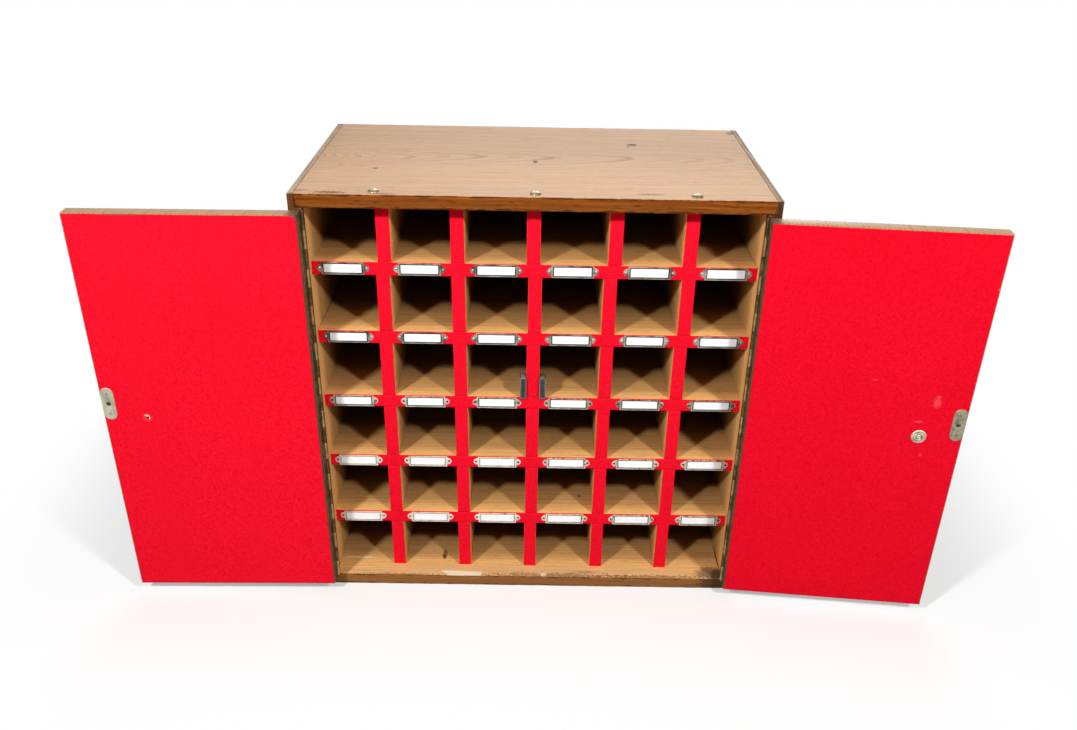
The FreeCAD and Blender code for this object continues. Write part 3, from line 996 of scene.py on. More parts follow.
@dataclass(frozen=True)
class CabinetSizes:
    """The sizes that the sub-assemblies share, in metres."""

    half_width: float = 0.305
    height: float = 0.610
    front: float = -0.171
    rear: float = 0.171
    side: float = 0.016
    board: float = 0.018
    back: float = 0.006
    lip: float = 0.0075
    lap: float = 0.007
    play: float = 0.0001
    rows: int = 6
    columns: int = 6
    grid_front: float = -0.1448
    felt: float = 0.001
    axis_x: float = 0.2875
    axis_y: float = -0.174
    door_face: float = -0.153
    door_bottom: float = 0.019
    door_top: float = 0.591
    open_degrees: dict[Side, float] = field(default_factory=lambda: {Side.LEFT: 179.0, Side.RIGHT: 174.5})
    shifts: dict[tuple[int, int], float] = field(default_factory=lambda: {
        (1, 1): 0.005, (1, 3): -0.0015, (1, 4): 0.0045, (1, 5): 0.0015,
        (2, 1): 0.0015, (2, 3): 0.001, (2, 5): 0.0025, (6, 3): -0.001, (6, 5): -0.0015,
    })

    @property
    def inner(self) -> float:
        """Half the clear width between the sides."""
        return self.half_width - self.side

    @property
    def back_face(self) -> float:
        """The inner face of the back."""
        return self.rear - self.back

    @property
    def row_height(self) -> float:
        """The clear height of a row."""
        return (self.height - (self.rows + 1) * self.board) / self.rows

    @property
    def column_width(self) -> float:
        """The clear width of an even column."""
        return (2 * self.inner - (self.columns - 1) * self.board) / self.columns

    @property
    def door_height(self) -> float:
        """The height of a door and of its hinge."""
        return self.door_top - self.door_bottom

    def row_floor(self, row: int) -> float:
        """The surface below a row, counted from the top."""
        return self.height - self.board - (row - 1) * (self.row_height + self.board) - self.row_height

    def divider_middle(self, row: int, place: int) -> float:
        """The middle of a divider, counted from the top and from the left."""
        even = -self.inner + place * (self.column_width + self.board) - self.board / 2
        return even + self.shifts.get((row, place), 0.0)

    def column_middle(self, column: int) -> float:
        """The middle of an even column, counted from the left."""
        return -self.inner + self.column_width / 2 + (column - 1) * (self.column_width + self.board)

    def flip(self, side: Side) -> Matrix:
        """Carries a left-hand piece to one side of the cabinet."""
        return Matrix.Identity(4) if side is Side.LEFT else Matrix.Diagonal((-1, 1, 1, 1))

    def opened(self, side: Side) -> Matrix:
        """Carries a closed left-hand door piece to where it stands open on one side.

        Args:
            side: Which door.

        Returns:
            The move.
        """
        pivot = Matrix.Translation((side.value * self.axis_x, self.axis_y, 0))
        turn = Matrix.Rotation(math.radians(side.value * self.open_degrees[side]), 4, "Z")
        return pivot @ turn @ pivot.inverted() @ self.flip(side)


SIZES = CabinetSizes()


# The sub-assemblies


@dataclass
class Case:
    """The sides, top, bottom and back of the cabinet."""

    sizes: CabinetSizes = SIZES
    round_over: float = 0.0011
    slip_taper: float = 0.011
    slip_proud: float = 0.0003

    def build(self) -> None:
        """Make and dress the boards round the grid."""
        self.build_sides()
        self.build_top()
        self.build_bottom()
        self.build_back()

    def build_sides(self) -> None:
        """The sides, whose thin lips show beside the top and the bottom."""
        s = self.sizes
        finish = WoodFinish(
            "side_varnish", Grain.UPRIGHT_SIDE,
            (0.190, 0.074, 0.024), (0.095, 0.034, 0.011), (0.030, 0.018, 0.012),
            wear=0.8, roughness=0.45, coat=0.0, pore=0.7, specular=0.06,
        ).make()
        inside = interior("side_inner_varnish", Grain.UPRIGHT_SIDE).make()
        end_grain = WoodFinish(
            "side_end_grain", Grain.FRONT_TO_BACK,
            (0.49, 0.375, 0.262), (0.21, 0.145, 0.096), (0.17, 0.110, 0.072),
            ring_gap=0.0035, wear=0.7, roughness=0.7, coat=0.0, pore=0.9, specular=0.04, contrast=1.6,
        ).make()
        knock = Mark(
            (s.half_width, s.front, 0.59), (0.020, 0.010, 0.030), (0.034, 0.021, 0.011), 0.80, 1.6,
        )
        edge = WoodFinish(
            "side_edge_varnish", Grain.UPRIGHT_SIDE,
            (0.195, 0.066, 0.020), (0.080, 0.028, 0.010), (0.100, 0.040, 0.016),
            ring_gap=0.004, wear=0.6, roughness=0.5, coat=0.0, pore=0.9, specular=0.05, contrast=1.5,
            marks=(knock,),
        ).make()
        for side in Side:
            name = side.word + "_side_panel"
            thing = self.side_shape(side).piece(name + "_board", finish, inside, end_grain, edge)
            settle(thing, "cabinet", "case_wood", name)

    def side_shape(self, side: Side) -> Shape:
        """One side, rebated for the top, the bottom and the back.

        Args:
            side: Which side.

        Returns:
            The side, with its inner face, its ends and its front edge painted 1, 2 and 3.
        """
        s, k, near = self.sizes, side.value, 0.001
        lip, inner, outer = k * (s.half_width - s.lip), k * s.inner, k * s.half_width
        top, middle = s.height - s.board, s.height / 2
        outline = [
            (outer, 0.0), (lip, 0.0), (lip, s.board), (inner, s.board),
            (inner, top), (lip, top), (lip, s.height), (outer, s.height),
        ]
        corners = [Vector((x, s.front, z)) for x, z in outline]
        shape = Shape().prism(corners, Vector((0, s.back_face - s.front, 0)))
        rail = k * (s.inner + s.lap)
        low = Vector((min(rail, outer), s.back_face, 0.0))
        high = Vector((max(rail, outer), s.rear, s.height))
        shape.add(Shape().block(low, high))
        shape.round_edges(
            self.round_over, keep=lambda e: all(abs(v.co.y - s.back_face) < WELD for v in e.verts),
        )
        shape.fade_wear(0.004).shift_grain(3 + k)

        def looks_in(face: BMFace) -> bool:
            """Whether a face lines the compartments."""
            return face.normal.x * k < -FACING and abs(abs(face.calc_center_median().x) - s.inner) < near

        def is_end(face: BMFace) -> bool:
            """Whether a face is one of the ends."""
            return abs(face.normal.z) > FACING and abs(face.calc_center_median().z - middle) > middle - near

        return shape.paint(1, looks_in).paint(2, is_end).paint_front(3)

    def flat_board(self, outline: Profile) -> Shape:
        """The rough form of the top or the bottom.

        Args:
            outline: Its section, from the front to the back.

        Returns:
            The board, let into the sides.
        """
        end = self.sizes.half_width - self.sizes.lip - self.sizes.play
        return Shape().prism([Vector((-end, y, z)) for y, z in outline], Vector((2 * end, 0, 0)))

    def build_top(self) -> None:
        """The top board, with the knocks and spots of long use."""
        s = self.sizes
        dark, brown = (0.035, 0.016, 0.006), (0.06, 0.025, 0.012)
        marks = (
            Mark((0.138, 0.077, s.height), (0.0085, 0.0075, 0.006), dark, 0.9, 0.6),
            Mark((0.131, 0.066, s.height), (0.0030, 0.0040, 0.006), dark, 0.7, 0.5),
            Mark((-0.001, -0.018, s.height), (0.004, 0.008, 0.006), dark, 0.85, 0.8),
            Mark((0.032, 0.003, s.height), (0.0022, 0.0026, 0.006), dark, 0.7, 0.3),
            Mark((-0.213, -0.059, s.height), (0.0045, 0.0035, 0.006), dark, 0.85, 0.4),
            Mark((-0.291, -0.157, s.height), (0.012, 0.003, 0.006), brown, 0.6, 0.8),
            Mark((-0.253, -0.163, s.height), (0.022, 0.005, 0.006), brown, 0.75, 0.9),
            Mark((-0.188, -0.166, s.height), (0.016, 0.003, 0.006), brown, 0.6, 0.9),
            Mark((0.142, -0.152, s.height), (0.020, 0.004, 0.006), (0.08, 0.035, 0.018), 0.5, 0.9),
            Mark((0.293, 0.151, s.height), (0.008, 0.010, 0.006), (0.16, 0.095, 0.055), 0.8, 0.8),
            Mark((0.290, 0.110, s.height), (0.006, 0.004, 0.006), (0.20, 0.12, 0.07), 0.5, 0.9),
            Mark((-0.013, 0.095, s.height), (0.020, 0.0015, 0.006), (0.22, 0.11, 0.06), 0.5, 0.5),
        )
        finish = WoodFinish(
            "top_varnish", Grain.ACROSS_FRONT,
            (0.622, 0.400, 0.247), (0.40, 0.205, 0.108), (0.40, 0.17, 0.06),
            ring_gap=0.0056, pith_depth=0.090, pith_across=0.003, tilt=0.115, sway=0.018, figure=0.72,
            wear=0.6, stroke=0.45, ripple=0.018, roughness=0.5, coat=0.0, pore=0.45, specular=0.05,
            knee=-1.0, knee_start=0.15, squeeze=1.7, marks=marks,
        ).make()
        edge = WoodFinish(
            "top_edge_varnish", Grain.ACROSS_FRONT,
            (0.235, 0.064, 0.008), (0.075, 0.018, 0.003), (0.030, 0.010, 0.005),
            ring_gap=0.0034, figure=0.9, wear=0.75, roughness=0.45, coat=0.0, pore=0.9, specular=0.05,
            contrast=2.0,
        ).make()
        under = s.height - s.board
        shape = self.flat_board([
            (s.front, under), (s.back_face, under), (s.back_face, under + s.lap),
            (s.rear, under + s.lap), (s.rear, s.height), (s.front, s.height),
        ])
        shape.subdivide_lengthways(24).jitter(0.00025, 30.0, 5).round_edges(self.round_over)
        shape.fade_wear(0.003).shift_grain().paint_front(1)
        settle(shape.piece("top_board_dressed", finish, edge), "cabinet", "case_wood", "top_board")

    def build_bottom(self) -> None:
        """The bottom board with its splintered front edge, and the pale slip let into it."""
        s = self.sizes
        dark, dirt = (0.022, 0.017, 0.013), (0.10, 0.055, 0.030)
        marks = (
            Mark((0.0, -0.158, s.board), (0.40, 0.013, 0.006), (0.60, 0.42, 0.25), 0.4, 0.6),
            Mark((s.inner - 0.0004, -0.120, s.board), (0.0014, 0.040, 0.004), dark, 0.9, 0.1),
            Mark((-0.132, -0.122, s.board), (0.0045, 0.014, 0.006), (0.10, 0.040, 0.014), 0.75, 0.5),
            Mark((-0.132, -0.127, s.board), (0.0030, 0.006, 0.006), (0.05, 0.020, 0.008), 0.8, 0.4),
            Mark((0.276, -0.158, s.board), (0.030, 0.018, 0.030), (0.06, 0.045, 0.032), 0.65, 0.45),
            Mark((0.284, -0.160, s.board), (0.012, 0.014, 0.030), dark, 0.7, 0.4),
            Mark((-0.262, -0.132, s.board), (0.030, 0.0030, 0.006), (0.90, 0.72, 0.48), 0.6, 0.8),
            Mark((-0.200, -0.171, s.board), (0.110, 0.0040, 0.006), dirt, 0.6, 1.6),
            Mark((0.030, -0.169, s.board), (0.120, 0.0070, 0.006), dirt, 0.6, 2.0),
            Mark((0.180, -0.170, s.board), (0.120, 0.0065, 0.006), dirt, 0.6, 1.8),
            Mark((0.020, -0.166, s.board), (0.006, 0.005, 0.006), (0.85, 0.68, 0.47), 0.8, 0.7),
            Mark((0.085, -0.160, s.board), (0.020, 0.0035, 0.006), (0.20, 0.11, 0.06), 0.45, 1.0),
        )
        finish = interior("bottom_varnish", Grain.ACROSS_FRONT, marks).make()
        edge = WoodFinish(
            "bottom_edge_varnish", Grain.ACROSS_FRONT,
            (0.30, 0.122, 0.036), (0.16, 0.058, 0.016), (0.075, 0.034, 0.014),
            wear=0.8, roughness=0.5, coat=0.0, pore=0.6, specular=0.05,
            marks=(Mark((0.276, s.front, 0.009), (0.026, 0.02, 0.020), dark, 0.7, 0.8),),
        ).make()
        shape = self.flat_board([
            (s.front, 0.0), (s.rear, 0.0), (s.rear, s.board - s.lap),
            (s.back_face, s.board - s.lap), (s.back_face, s.board), (s.front, s.board),
        ])
        shape.subdivide_lengthways(60).jitter(0.0005, 70.0, 9).round_edges(self.round_over)
        shape.fade_wear(0.004).shift_grain(11).paint_front(1)
        settle(shape.piece("bottom_board_dressed", finish, edge), "cabinet", "case_wood", "bottom_board")
        self.build_slip(edge)

    def build_slip(self, edge: Material) -> None:
        """The pale slip in the bottom's front corner, pointed at its left end.

        Args:
            edge: The finish of the bottom's front edge, which runs over the slip.
        """
        pale = WoodFinish(
            "slip_bare", Grain.ACROSS_FRONT, (0.90, 0.80, 0.58), (0.80, 0.67, 0.44), (0.92, 0.84, 0.66),
            wear=0.4, roughness=0.7, coat=0.0, pore=0.1,
        ).make()
        low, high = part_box("edge_slip")
        fore = low.y - self.slip_proud
        outline = [(low.x, high.y), (low.x + self.slip_taper, fore), (high.x, fore), (high.x, high.y)]
        corners = [Vector((x, y, low.z)) for x, y in outline]
        slip = Shape().prism(corners, Vector((0, 0, high.z - low.z + self.slip_proud)))
        slip.round_edges(0.0004).fade_wear(0.001).shift_grain(21).paint_front(1)
        settle(slip.piece("edge_slip_dressed", pale, edge), "cabinet", "slip_wood", "edge_slip")

    def build_back(self) -> None:
        """The thin back and the pins that hold it."""
        s = self.sizes
        finish = WoodFinish(
            "back_bare", Grain.UPRIGHT_FRONT, (0.30, 0.165, 0.075), (0.20, 0.105, 0.045), (0.22, 0.13, 0.06),
            ring_gap=0.009, roughness=0.65, coat=0.0,
        ).make()
        # The back's inner face is the same wood painted darker: painted shade for the unlit backs of the
        # compartments
        unlit = WoodFinish(
            "back_inner_stain", Grain.UPRIGHT_FRONT,
            (0.200, 0.095, 0.048), (0.130, 0.060, 0.030), (0.15, 0.08, 0.04),
            ring_gap=0.009, roughness=0.7, coat=0.0, specular=0.1,
        ).make()
        panel = board(*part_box("back_panel"), 31, 0.0005, 0.0012).paint_front(1)
        settle(panel.piece("back_panel_dressed", finish, unlit), "cabinet", "back_wood", "back_panel")
        metal = MetalFinish(
            "back_pin_steel", (0.42, 0.40, 0.37), (0.16, 0.13, 0.10), (0.10, 0.05, 0.03),
        ).make()
        head = Shape().lathe([
            (0.0, 0.0007), (0.0010, 0.0006), (0.0018, 0.0002), (0.0018, 0.0),
            (0.0008, 0.0), (0.0008, -0.004), (0.0, -0.004),
        ], 12)
        inset = s.lap / 2
        rows = [s.row_floor(row) + s.row_height / 2 for row in range(1, s.rows + 1)]
        places = [(x, z) for z in rows for x in (-s.inner - inset, s.inner + inset)]
        columns = [s.column_middle(column) for column in range(1, s.columns + 1)]
        places += [(x, z) for x in columns for z in (s.board - inset, s.height - s.board + inset)]
        pins = Shape()
        for x, z in places:
            pins.add(head, heading(Vector((x, s.rear, z)), Vector((0, 1, 0))))
        settle(pins.piece("back_pins_dressed", metal), "cabinet", "screw_metal", "back_pins")


@dataclass
class Grid:
    """The shelves and short dividers, with the baize on their front edges."""

    sizes: CabinetSizes = SIZES
    ragged: float = 0.00022
    strip_gap: float = 0.0003

    def build(self, baize: Material) -> None:
        """Make and dress the grid.

        Args:
            baize: The cloth's finish.
        """
        self.build_boards()
        self.build_strips(baize)

    def build_boards(self) -> None:
        """The shelves and the rows of dividers."""
        s = self.sizes
        knot = Mark((0.073, -0.101, s.row_floor(5)), (0.004, 0.003, 0.004), (0.10, 0.05, 0.02), 0.8, 0.5)
        dark, open_joint = (0.03, 0.015, 0.008), (0.0010, 0.15, 0.004)
        gaps = tuple(
            Mark((k * (s.inner - 0.0002), -0.02, s.row_floor(row)), open_joint, dark, 0.8, 0.1)
            for k, row in ((1, 1), (-1, 2))
        )
        flat = interior("shelf_varnish", Grain.ACROSS_FRONT, (knot, *gaps)).make()
        upright = interior("divider_varnish", Grain.FRONT_TO_BACK).make()
        for shelf in range(1, s.rows):
            name = f"shelf_{shelf}"
            shape = board(*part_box(name), 40 + shelf)
            settle(shape.piece(name + "_board", flat), "cabinet", "grid_wood", name)
        for row in range(1, s.rows + 1):
            name = f"dividers_row_{row}"
            low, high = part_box(name)
            boards = Shape()
            for place in range(1, s.columns):
                x = s.divider_middle(row, place)
                left = Vector((x - s.board / 2, low.y, low.z))
                right = Vector((x + s.board / 2, high.y, high.z))
                boards.add(board(left, right, 60 + row * 7 + place))
            settle(boards.piece(name + "_boards", upright), "cabinet", "grid_wood", name)

    def build_strips(self, baize: Material) -> None:
        """The baize along the shelves and up the dividers, a separate strip for each.

        Args:
            baize: The cloth's finish.
        """
        s, y = self.sizes, self.sizes.grid_front
        end = s.inner - self.strip_gap
        for shelf in range(1, s.rows):
            z = s.row_floor(shelf) - s.board
            low, high = Vector((-end, y, z)), Vector((end, y, z + s.board))
            strip = cloth(low, high, s.felt, (120, 4), self.ragged, shelf)
            thing = strip.piece(f"shelf_baize_{shelf}", baize, smooth_angle=60.0)
            settle(thing, "cabinet", "red_baize", "shelf_baize")
        for row in range(1, s.rows + 1):
            foot = s.row_floor(row) + self.strip_gap
            head = s.row_floor(row) + s.row_height - self.strip_gap
            for place in range(1, s.columns):
                x = s.divider_middle(row, place)
                low, high = Vector((x - s.board / 2, y, foot)), Vector((x + s.board / 2, y, head))
                strip = cloth(low, high, s.felt, (4, 18), self.ragged, 10 * row + place)
                thing = strip.piece(f"divider_baize_{row}_{place}", baize, smooth_angle=60.0)
                settle(thing, "cabinet", "red_baize", "divider_baize")
                head - foot


def cloth(
    low: Vector, high: Vector, thick: float, cells: tuple[int, int], ragged: float, seed: int,
    hole: tuple[Vector, float] | None = None, corner: float = 0.0,
) -> Shape:
    """A glued piece of baize facing -Y, with soft hand-cut edges.

    Args:
        low: Its lower left corner on the wood.
        high: Its upper right corner on the wood.
        thick: How thick the cloth is.
        cells: How many cells it has across and up.
        ragged: How far the cut wanders.
        seed: Sets its edges apart from other pieces.
        hole: The middle and radius of a hole through it, if it has one.
        corner: How far its upper left corner is rounded.

    Returns:
        The cloth.
    """
    shape = Shape()
    middle, size = (low + high) / 2, high - low
    lie = Matrix.Translation(middle) @ Matrix.Rotation(math.pi / 2, 4, "X")
    lie = lie @ Matrix.Diagonal((size.x / 2, size.z / 2, 1, 1))
    bmesh.ops.create_grid(shape.mesh, x_segments=cells[0], y_segments=cells[1], size=1.0, matrix=lie)

    def inward(distance: float, extent: float) -> float:
        """The way in along one direction from a point on the border, or 0 away from that border."""
        return math.copysign(1, distance) if abs(abs(distance) - extent / 2) < WELD else 0.0

    for vert in shape.mesh.verts:
        if vert.is_boundary:
            pull = noise.noise(vert.co * 90.0 + Vector((seed * 3.1, 0, 0))) * 0.5 + 0.5
            back = middle - vert.co
            vert.co += Vector((inward(back.x, size.x), 0, inward(back.z, size.z))) * (pull * ragged)
    for vert in shape.mesh.verts:
        away = Vector((vert.co.x - low.x - corner, 0, vert.co.z - high.z + corner))
        if away.x < 0 < away.z and away.length > corner:
            vert.co += away.normalized() * (corner - away.length)
    if hole is not None:
        pierce(shape, *hole)
    shape.push(shape.mesh.faces[:], (0, -thick, 0))
    shape.outwards()
    rim = [
        e for e in shape.mesh.edges
        if e.calc_face_angle(0.0) > 0.8 and all(v.co.y < low.y - thick / 2 for v in e.verts)
    ]
    shape.bevel(rim, thick * 0.35, 2)
    for vert in shape.mesh.verts:
        if vert.co.y < low.y - thick * 0.8:
            vert.co.y += (noise.noise(vert.co * 60.0) - 0.3) * thick * 0.06
    return shape


def pierce(shape: Shape, centre: Vector, radius: float) -> None:
    """Cut a torn round hole in a flat grid that faces -Y.

    Args:
        shape: The grid.
        centre: The hole's middle.
        radius: The hole's radius.
    """
    hub = min(shape.mesh.verts, key=lambda v: (v.co - centre).length)
    near = set(hub.link_faces)
    near |= {f for face in near for v in face.verts for f in v.link_faces}
    rim = [e for e in {e for f in near for e in f.edges} if sum(f in near for f in e.link_faces) == 1]
    bmesh.ops.delete(shape.mesh, geom=list(near), context="FACES_KEEP_BOUNDARY")
    turn = Matrix.Translation(centre) @ Matrix.Rotation(math.pi / 2, 4, "X")
    made = bmesh.ops.create_circle(shape.mesh, cap_ends=False, radius=radius, segments=16, matrix=turn)
    for vert in made["verts"]:
        vert.co += (vert.co - centre) * (0.22 * noise.noise(vert.co * 700.0))
    lip = list({e for v in made["verts"] for e in v.link_edges})
    bmesh.ops.bridge_loops(shape.mesh, edges=[e for e in rim if e.is_valid] + lip)


@dataclass
class Labels:
    """The card holders, their cards and their pins."""

    sizes: CabinetSizes = SIZES
    width: float = 0.055
    height: float = 0.0164
    depth: float = 0.0022
    sheet: float = 0.0006
    rail: float = 0.0030
    lower_rail: float = 0.0026
    upper_rail: float = 0.0024
    band: float = 0.0013
    lift: float = 0.0005
    rise: float = 0.0004
    ear: float = 0.0065
    ear_height: float = 0.011
    soft: float = 0.0002
    card_thick: float = 0.0004
    card_gap: float = 0.00025
    card_headroom: float = 0.0004
    card_bow: float = 0.00035
    card_droop: float = 0.0005
    bright_pin_shelves: int = 2

    def rim(self) -> Shape:
        """The pressed front of a holder: an outer band, and an inner one round the card.

        Returns:
            The rim, with the inner band painted 1.
        """
        half, low, crown = self.width / 2, -self.height / 2, self.height / 2 + self.lift
        insets = (self.rail, self.lower_rail, self.upper_rail)
        borders = ((0.0, 0.0, 0.0), tuple(inset - self.band for inset in insets), insets)
        rim = Shape()
        for index, pair in enumerate(zip(borders, borders[1:])):
            loops = []
            for side_in, low_in, high_in in pair:
                corners = (
                    (-half + side_in, low + low_in), (half - side_in, low + low_in),
                    (half - side_in, crown - high_in), (-half + side_in, crown - high_in),
                )
                points = [rim.mesh.verts.new((x, -self.depth, z)) for x, z in corners]
                loops += [rim.mesh.edges.new((points[i], points[(i + 1) % 4])) for i in range(4)]
            for face in bmesh.ops.bridge_loops(rim.mesh, edges=loops)["faces"]:
                face.material_index = index
        bmesh.ops.remove_doubles(rim.mesh, verts=rim.mesh.verts, dist=WELD)
        rim.push(rim.mesh.faces[:], (0, self.sheet, 0))
        rim.outwards()
        rim.round_edges(self.soft)
        near = 0.0003
        beside, over = half - self.rail + near, crown - self.upper_rail + near
        under = low + self.lower_rail - near
        return rim.paint(1, lambda f: all(abs(v.co.x) < beside and under < v.co.z < over for v in f.verts))

    def holder(self) -> Shape:
        """One pressed holder with its back at the origin, facing -Y.

        Returns:
            The rim, the walls behind it and a round ear at each end, with a painted highlight along the
            lower edge.
        """
        half, tall, wall = self.width / 2, self.height / 2, self.sheet
        fore = wall * 0.5 - self.depth
        plate = self.rim()
        for low, high in (
            ((-half, fore, -tall), (-half + wall, 0.0, tall)),
            ((half - wall, fore, -tall), (half, 0.0, tall)),
            ((-half, fore, -tall), (half, 0.0, -tall + wall)),
        ):
            plate.add(Shape().block(Vector(low), Vector(high)).round_edges(0.00012, 1))
        steps = 14
        turns = [math.pi * i / steps for i in range(steps + 1)]
        arc = [(half - self.soft + self.ear * math.sin(t), self.ear_height / 2 * math.cos(t)) for t in turns]
        for side in Side:
            outline = [Vector((side.value * x, 0.0, z)) for x, z in arc]
            plate.add(Shape().prism(outline, Vector((0, -self.sheet, 0))).round_edges(self.soft))
        # The lowest 0.9 mm is marked fully rubbed, so it takes the bright metal: a painted highlight along
        # the lower rail
        return plate.rub_and_highlight(lambda p: p.z < -tall + 0.0009)

    def card(self, seed: int) -> Shape:
        """One bare card, slightly bowed and not quite level.

        Args:
            seed: Sets its lie apart from the others.

        Returns:
            The card, placed as the holder is.
        """
        half = self.width / 2 - self.sheet - self.card_gap
        face = self.sheet - self.depth + self.card_gap
        low = Vector((-half, face, -self.height / 2 + self.sheet))
        high = Vector((half, face + self.card_thick, self.height / 2 - self.card_headroom))
        sheet = Shape().block(low, high).subdivide_lengthways(8)
        for vert in sheet.mesh.verts:
            vert.co.y += self.card_bow * (vert.co.x / half) ** 2
            vert.co.z -= self.card_droop * abs(math.sin(seed * 12.9)) * (vert.co.z > 0)
        return sheet

    @staticmethod
    def row_finishes() -> dict[int, tuple[Material, Material]]:
        """The holders' finishes, which differ from row to row.

        Returns:
            The finish of the metal and that of the inner band, by shelf from the top.
        """
        # A near-black band round each card's window, in rows 1 to 3
        inner_band_dark = MetalFinish(
            "holder_lacquer", (0.022, 0.018, 0.014), (0.010, 0.008, 0.006), (0.005, 0.004, 0.003),
            metallic=0.2, roughness=0.6,
        ).make()
        stain = MetalFinish(
            "holder_stain", (0.46, 0.42, 0.33), (0.16, 0.135, 0.095), (0.015, 0.011, 0.008),
            metallic=0.3, roughness=0.55, tarnish_share=0.8, speck_share=1.0,
            worse_to_right=0.2, speck_start=0.5, speck_scale=2.4,
        ).make()
        bronze = MetalFinish(
            "holder_bronzed", (0.46, 0.43, 0.35), (0.040, 0.033, 0.022), (0.015, 0.012, 0.009),
            metallic=0.45, roughness=0.42, tarnish_share=0.99, cloud_scale=60.0,
        ).make()
        pale = MetalFinish(
            "holder_plated", (0.86, 0.81, 0.67), (0.56, 0.50, 0.37), (0.03, 0.02, 0.012),
            metallic=0.35, roughness=0.42, tarnish_share=0.7, speck_share=1.0, cloud_scale=110.0,
            worse_to_right=0.24, speck_start=0.53, speck_scale=3.4,
        ).make()
        mixed = MetalFinish(
            "holder_greyed", (0.66, 0.61, 0.50), (0.20, 0.175, 0.125), (0.03, 0.022, 0.015),
            metallic=0.5, roughness=0.4, tarnish_share=0.85, speck_share=0.95,
            worse_to_right=0.14, speck_start=0.52, speck_scale=2.2,
        ).make()
        return {
            1: (bronze, inner_band_dark), 2: (bronze, inner_band_dark), 3: (mixed, inner_band_dark),
            4: (pale, stain), 5: (pale, stain),
        }

    def build(self) -> None:
        """Make and dress every row of holders, the cards and the pins."""
        s = self.sizes
        finishes = self.row_finishes()
        holder = self.holder()
        bright = Shape().lathe([
            (0.0, 0.0009), (0.0007, 0.0008), (0.0013, 0.00045), (0.0017, 0.0),
            (0.0006, 0.0), (0.0006, -0.006), (0.0, -0.0065),
        ], 12)
        dull = Shape().add(bright).paint(1, lambda f: True)
        cards, pins = Shape(), Shape()
        reach = self.width / 2 + self.ear * 0.45
        for shelf in range(1, s.rows):
            z = s.row_floor(shelf) - s.board / 2 + self.rise
            pin = bright if shelf <= self.bright_pin_shelves else dull
            row = Shape()
            for column in range(1, s.columns + 1):
                place = Vector((s.column_middle(column), s.grid_front - s.felt, z))
                row.add(holder, Matrix.Translation(place))
                cards.add(self.card(shelf * 10 + column), Matrix.Translation(place))
                for side in Side:
                    spot = place + Vector((side.value * reach, -self.sheet, 0))
                    pins.add(pin, heading(spot, Vector((0, -1, 0))))
            name = f"label_holders_row_{shelf}"
            settle(row.piece(name + "_pressed", *finishes[shelf]), "cabinet", "label_metal", name)
        card = PlainFinish("bare_card", (0.97, 0.97, 0.96), (0.90, 0.89, 0.87), 0.85).make()
        settle(cards.piece("label_cards_bare", card), "cabinet", "label_card", "label_cards")
        steel = MetalFinish(
            "pin_steel", (0.55, 0.52, 0.45), (0.20, 0.18, 0.145), (0.06, 0.05, 0.035),
            roughness=0.25, tarnish_share=0.7, cloud_scale=300.0,
        ).make()
        dark = MetalFinish(
            "pin_blackened", (0.090, 0.070, 0.048), (0.030, 0.022, 0.015), (0.02, 0.015, 0.01),
            roughness=0.45, tarnish_share=0.9, cloud_scale=300.0,
        ).make()
        settle(pins.piece("label_pins_domed", steel, dark), "cabinet", "screw_metal", "label_pins")


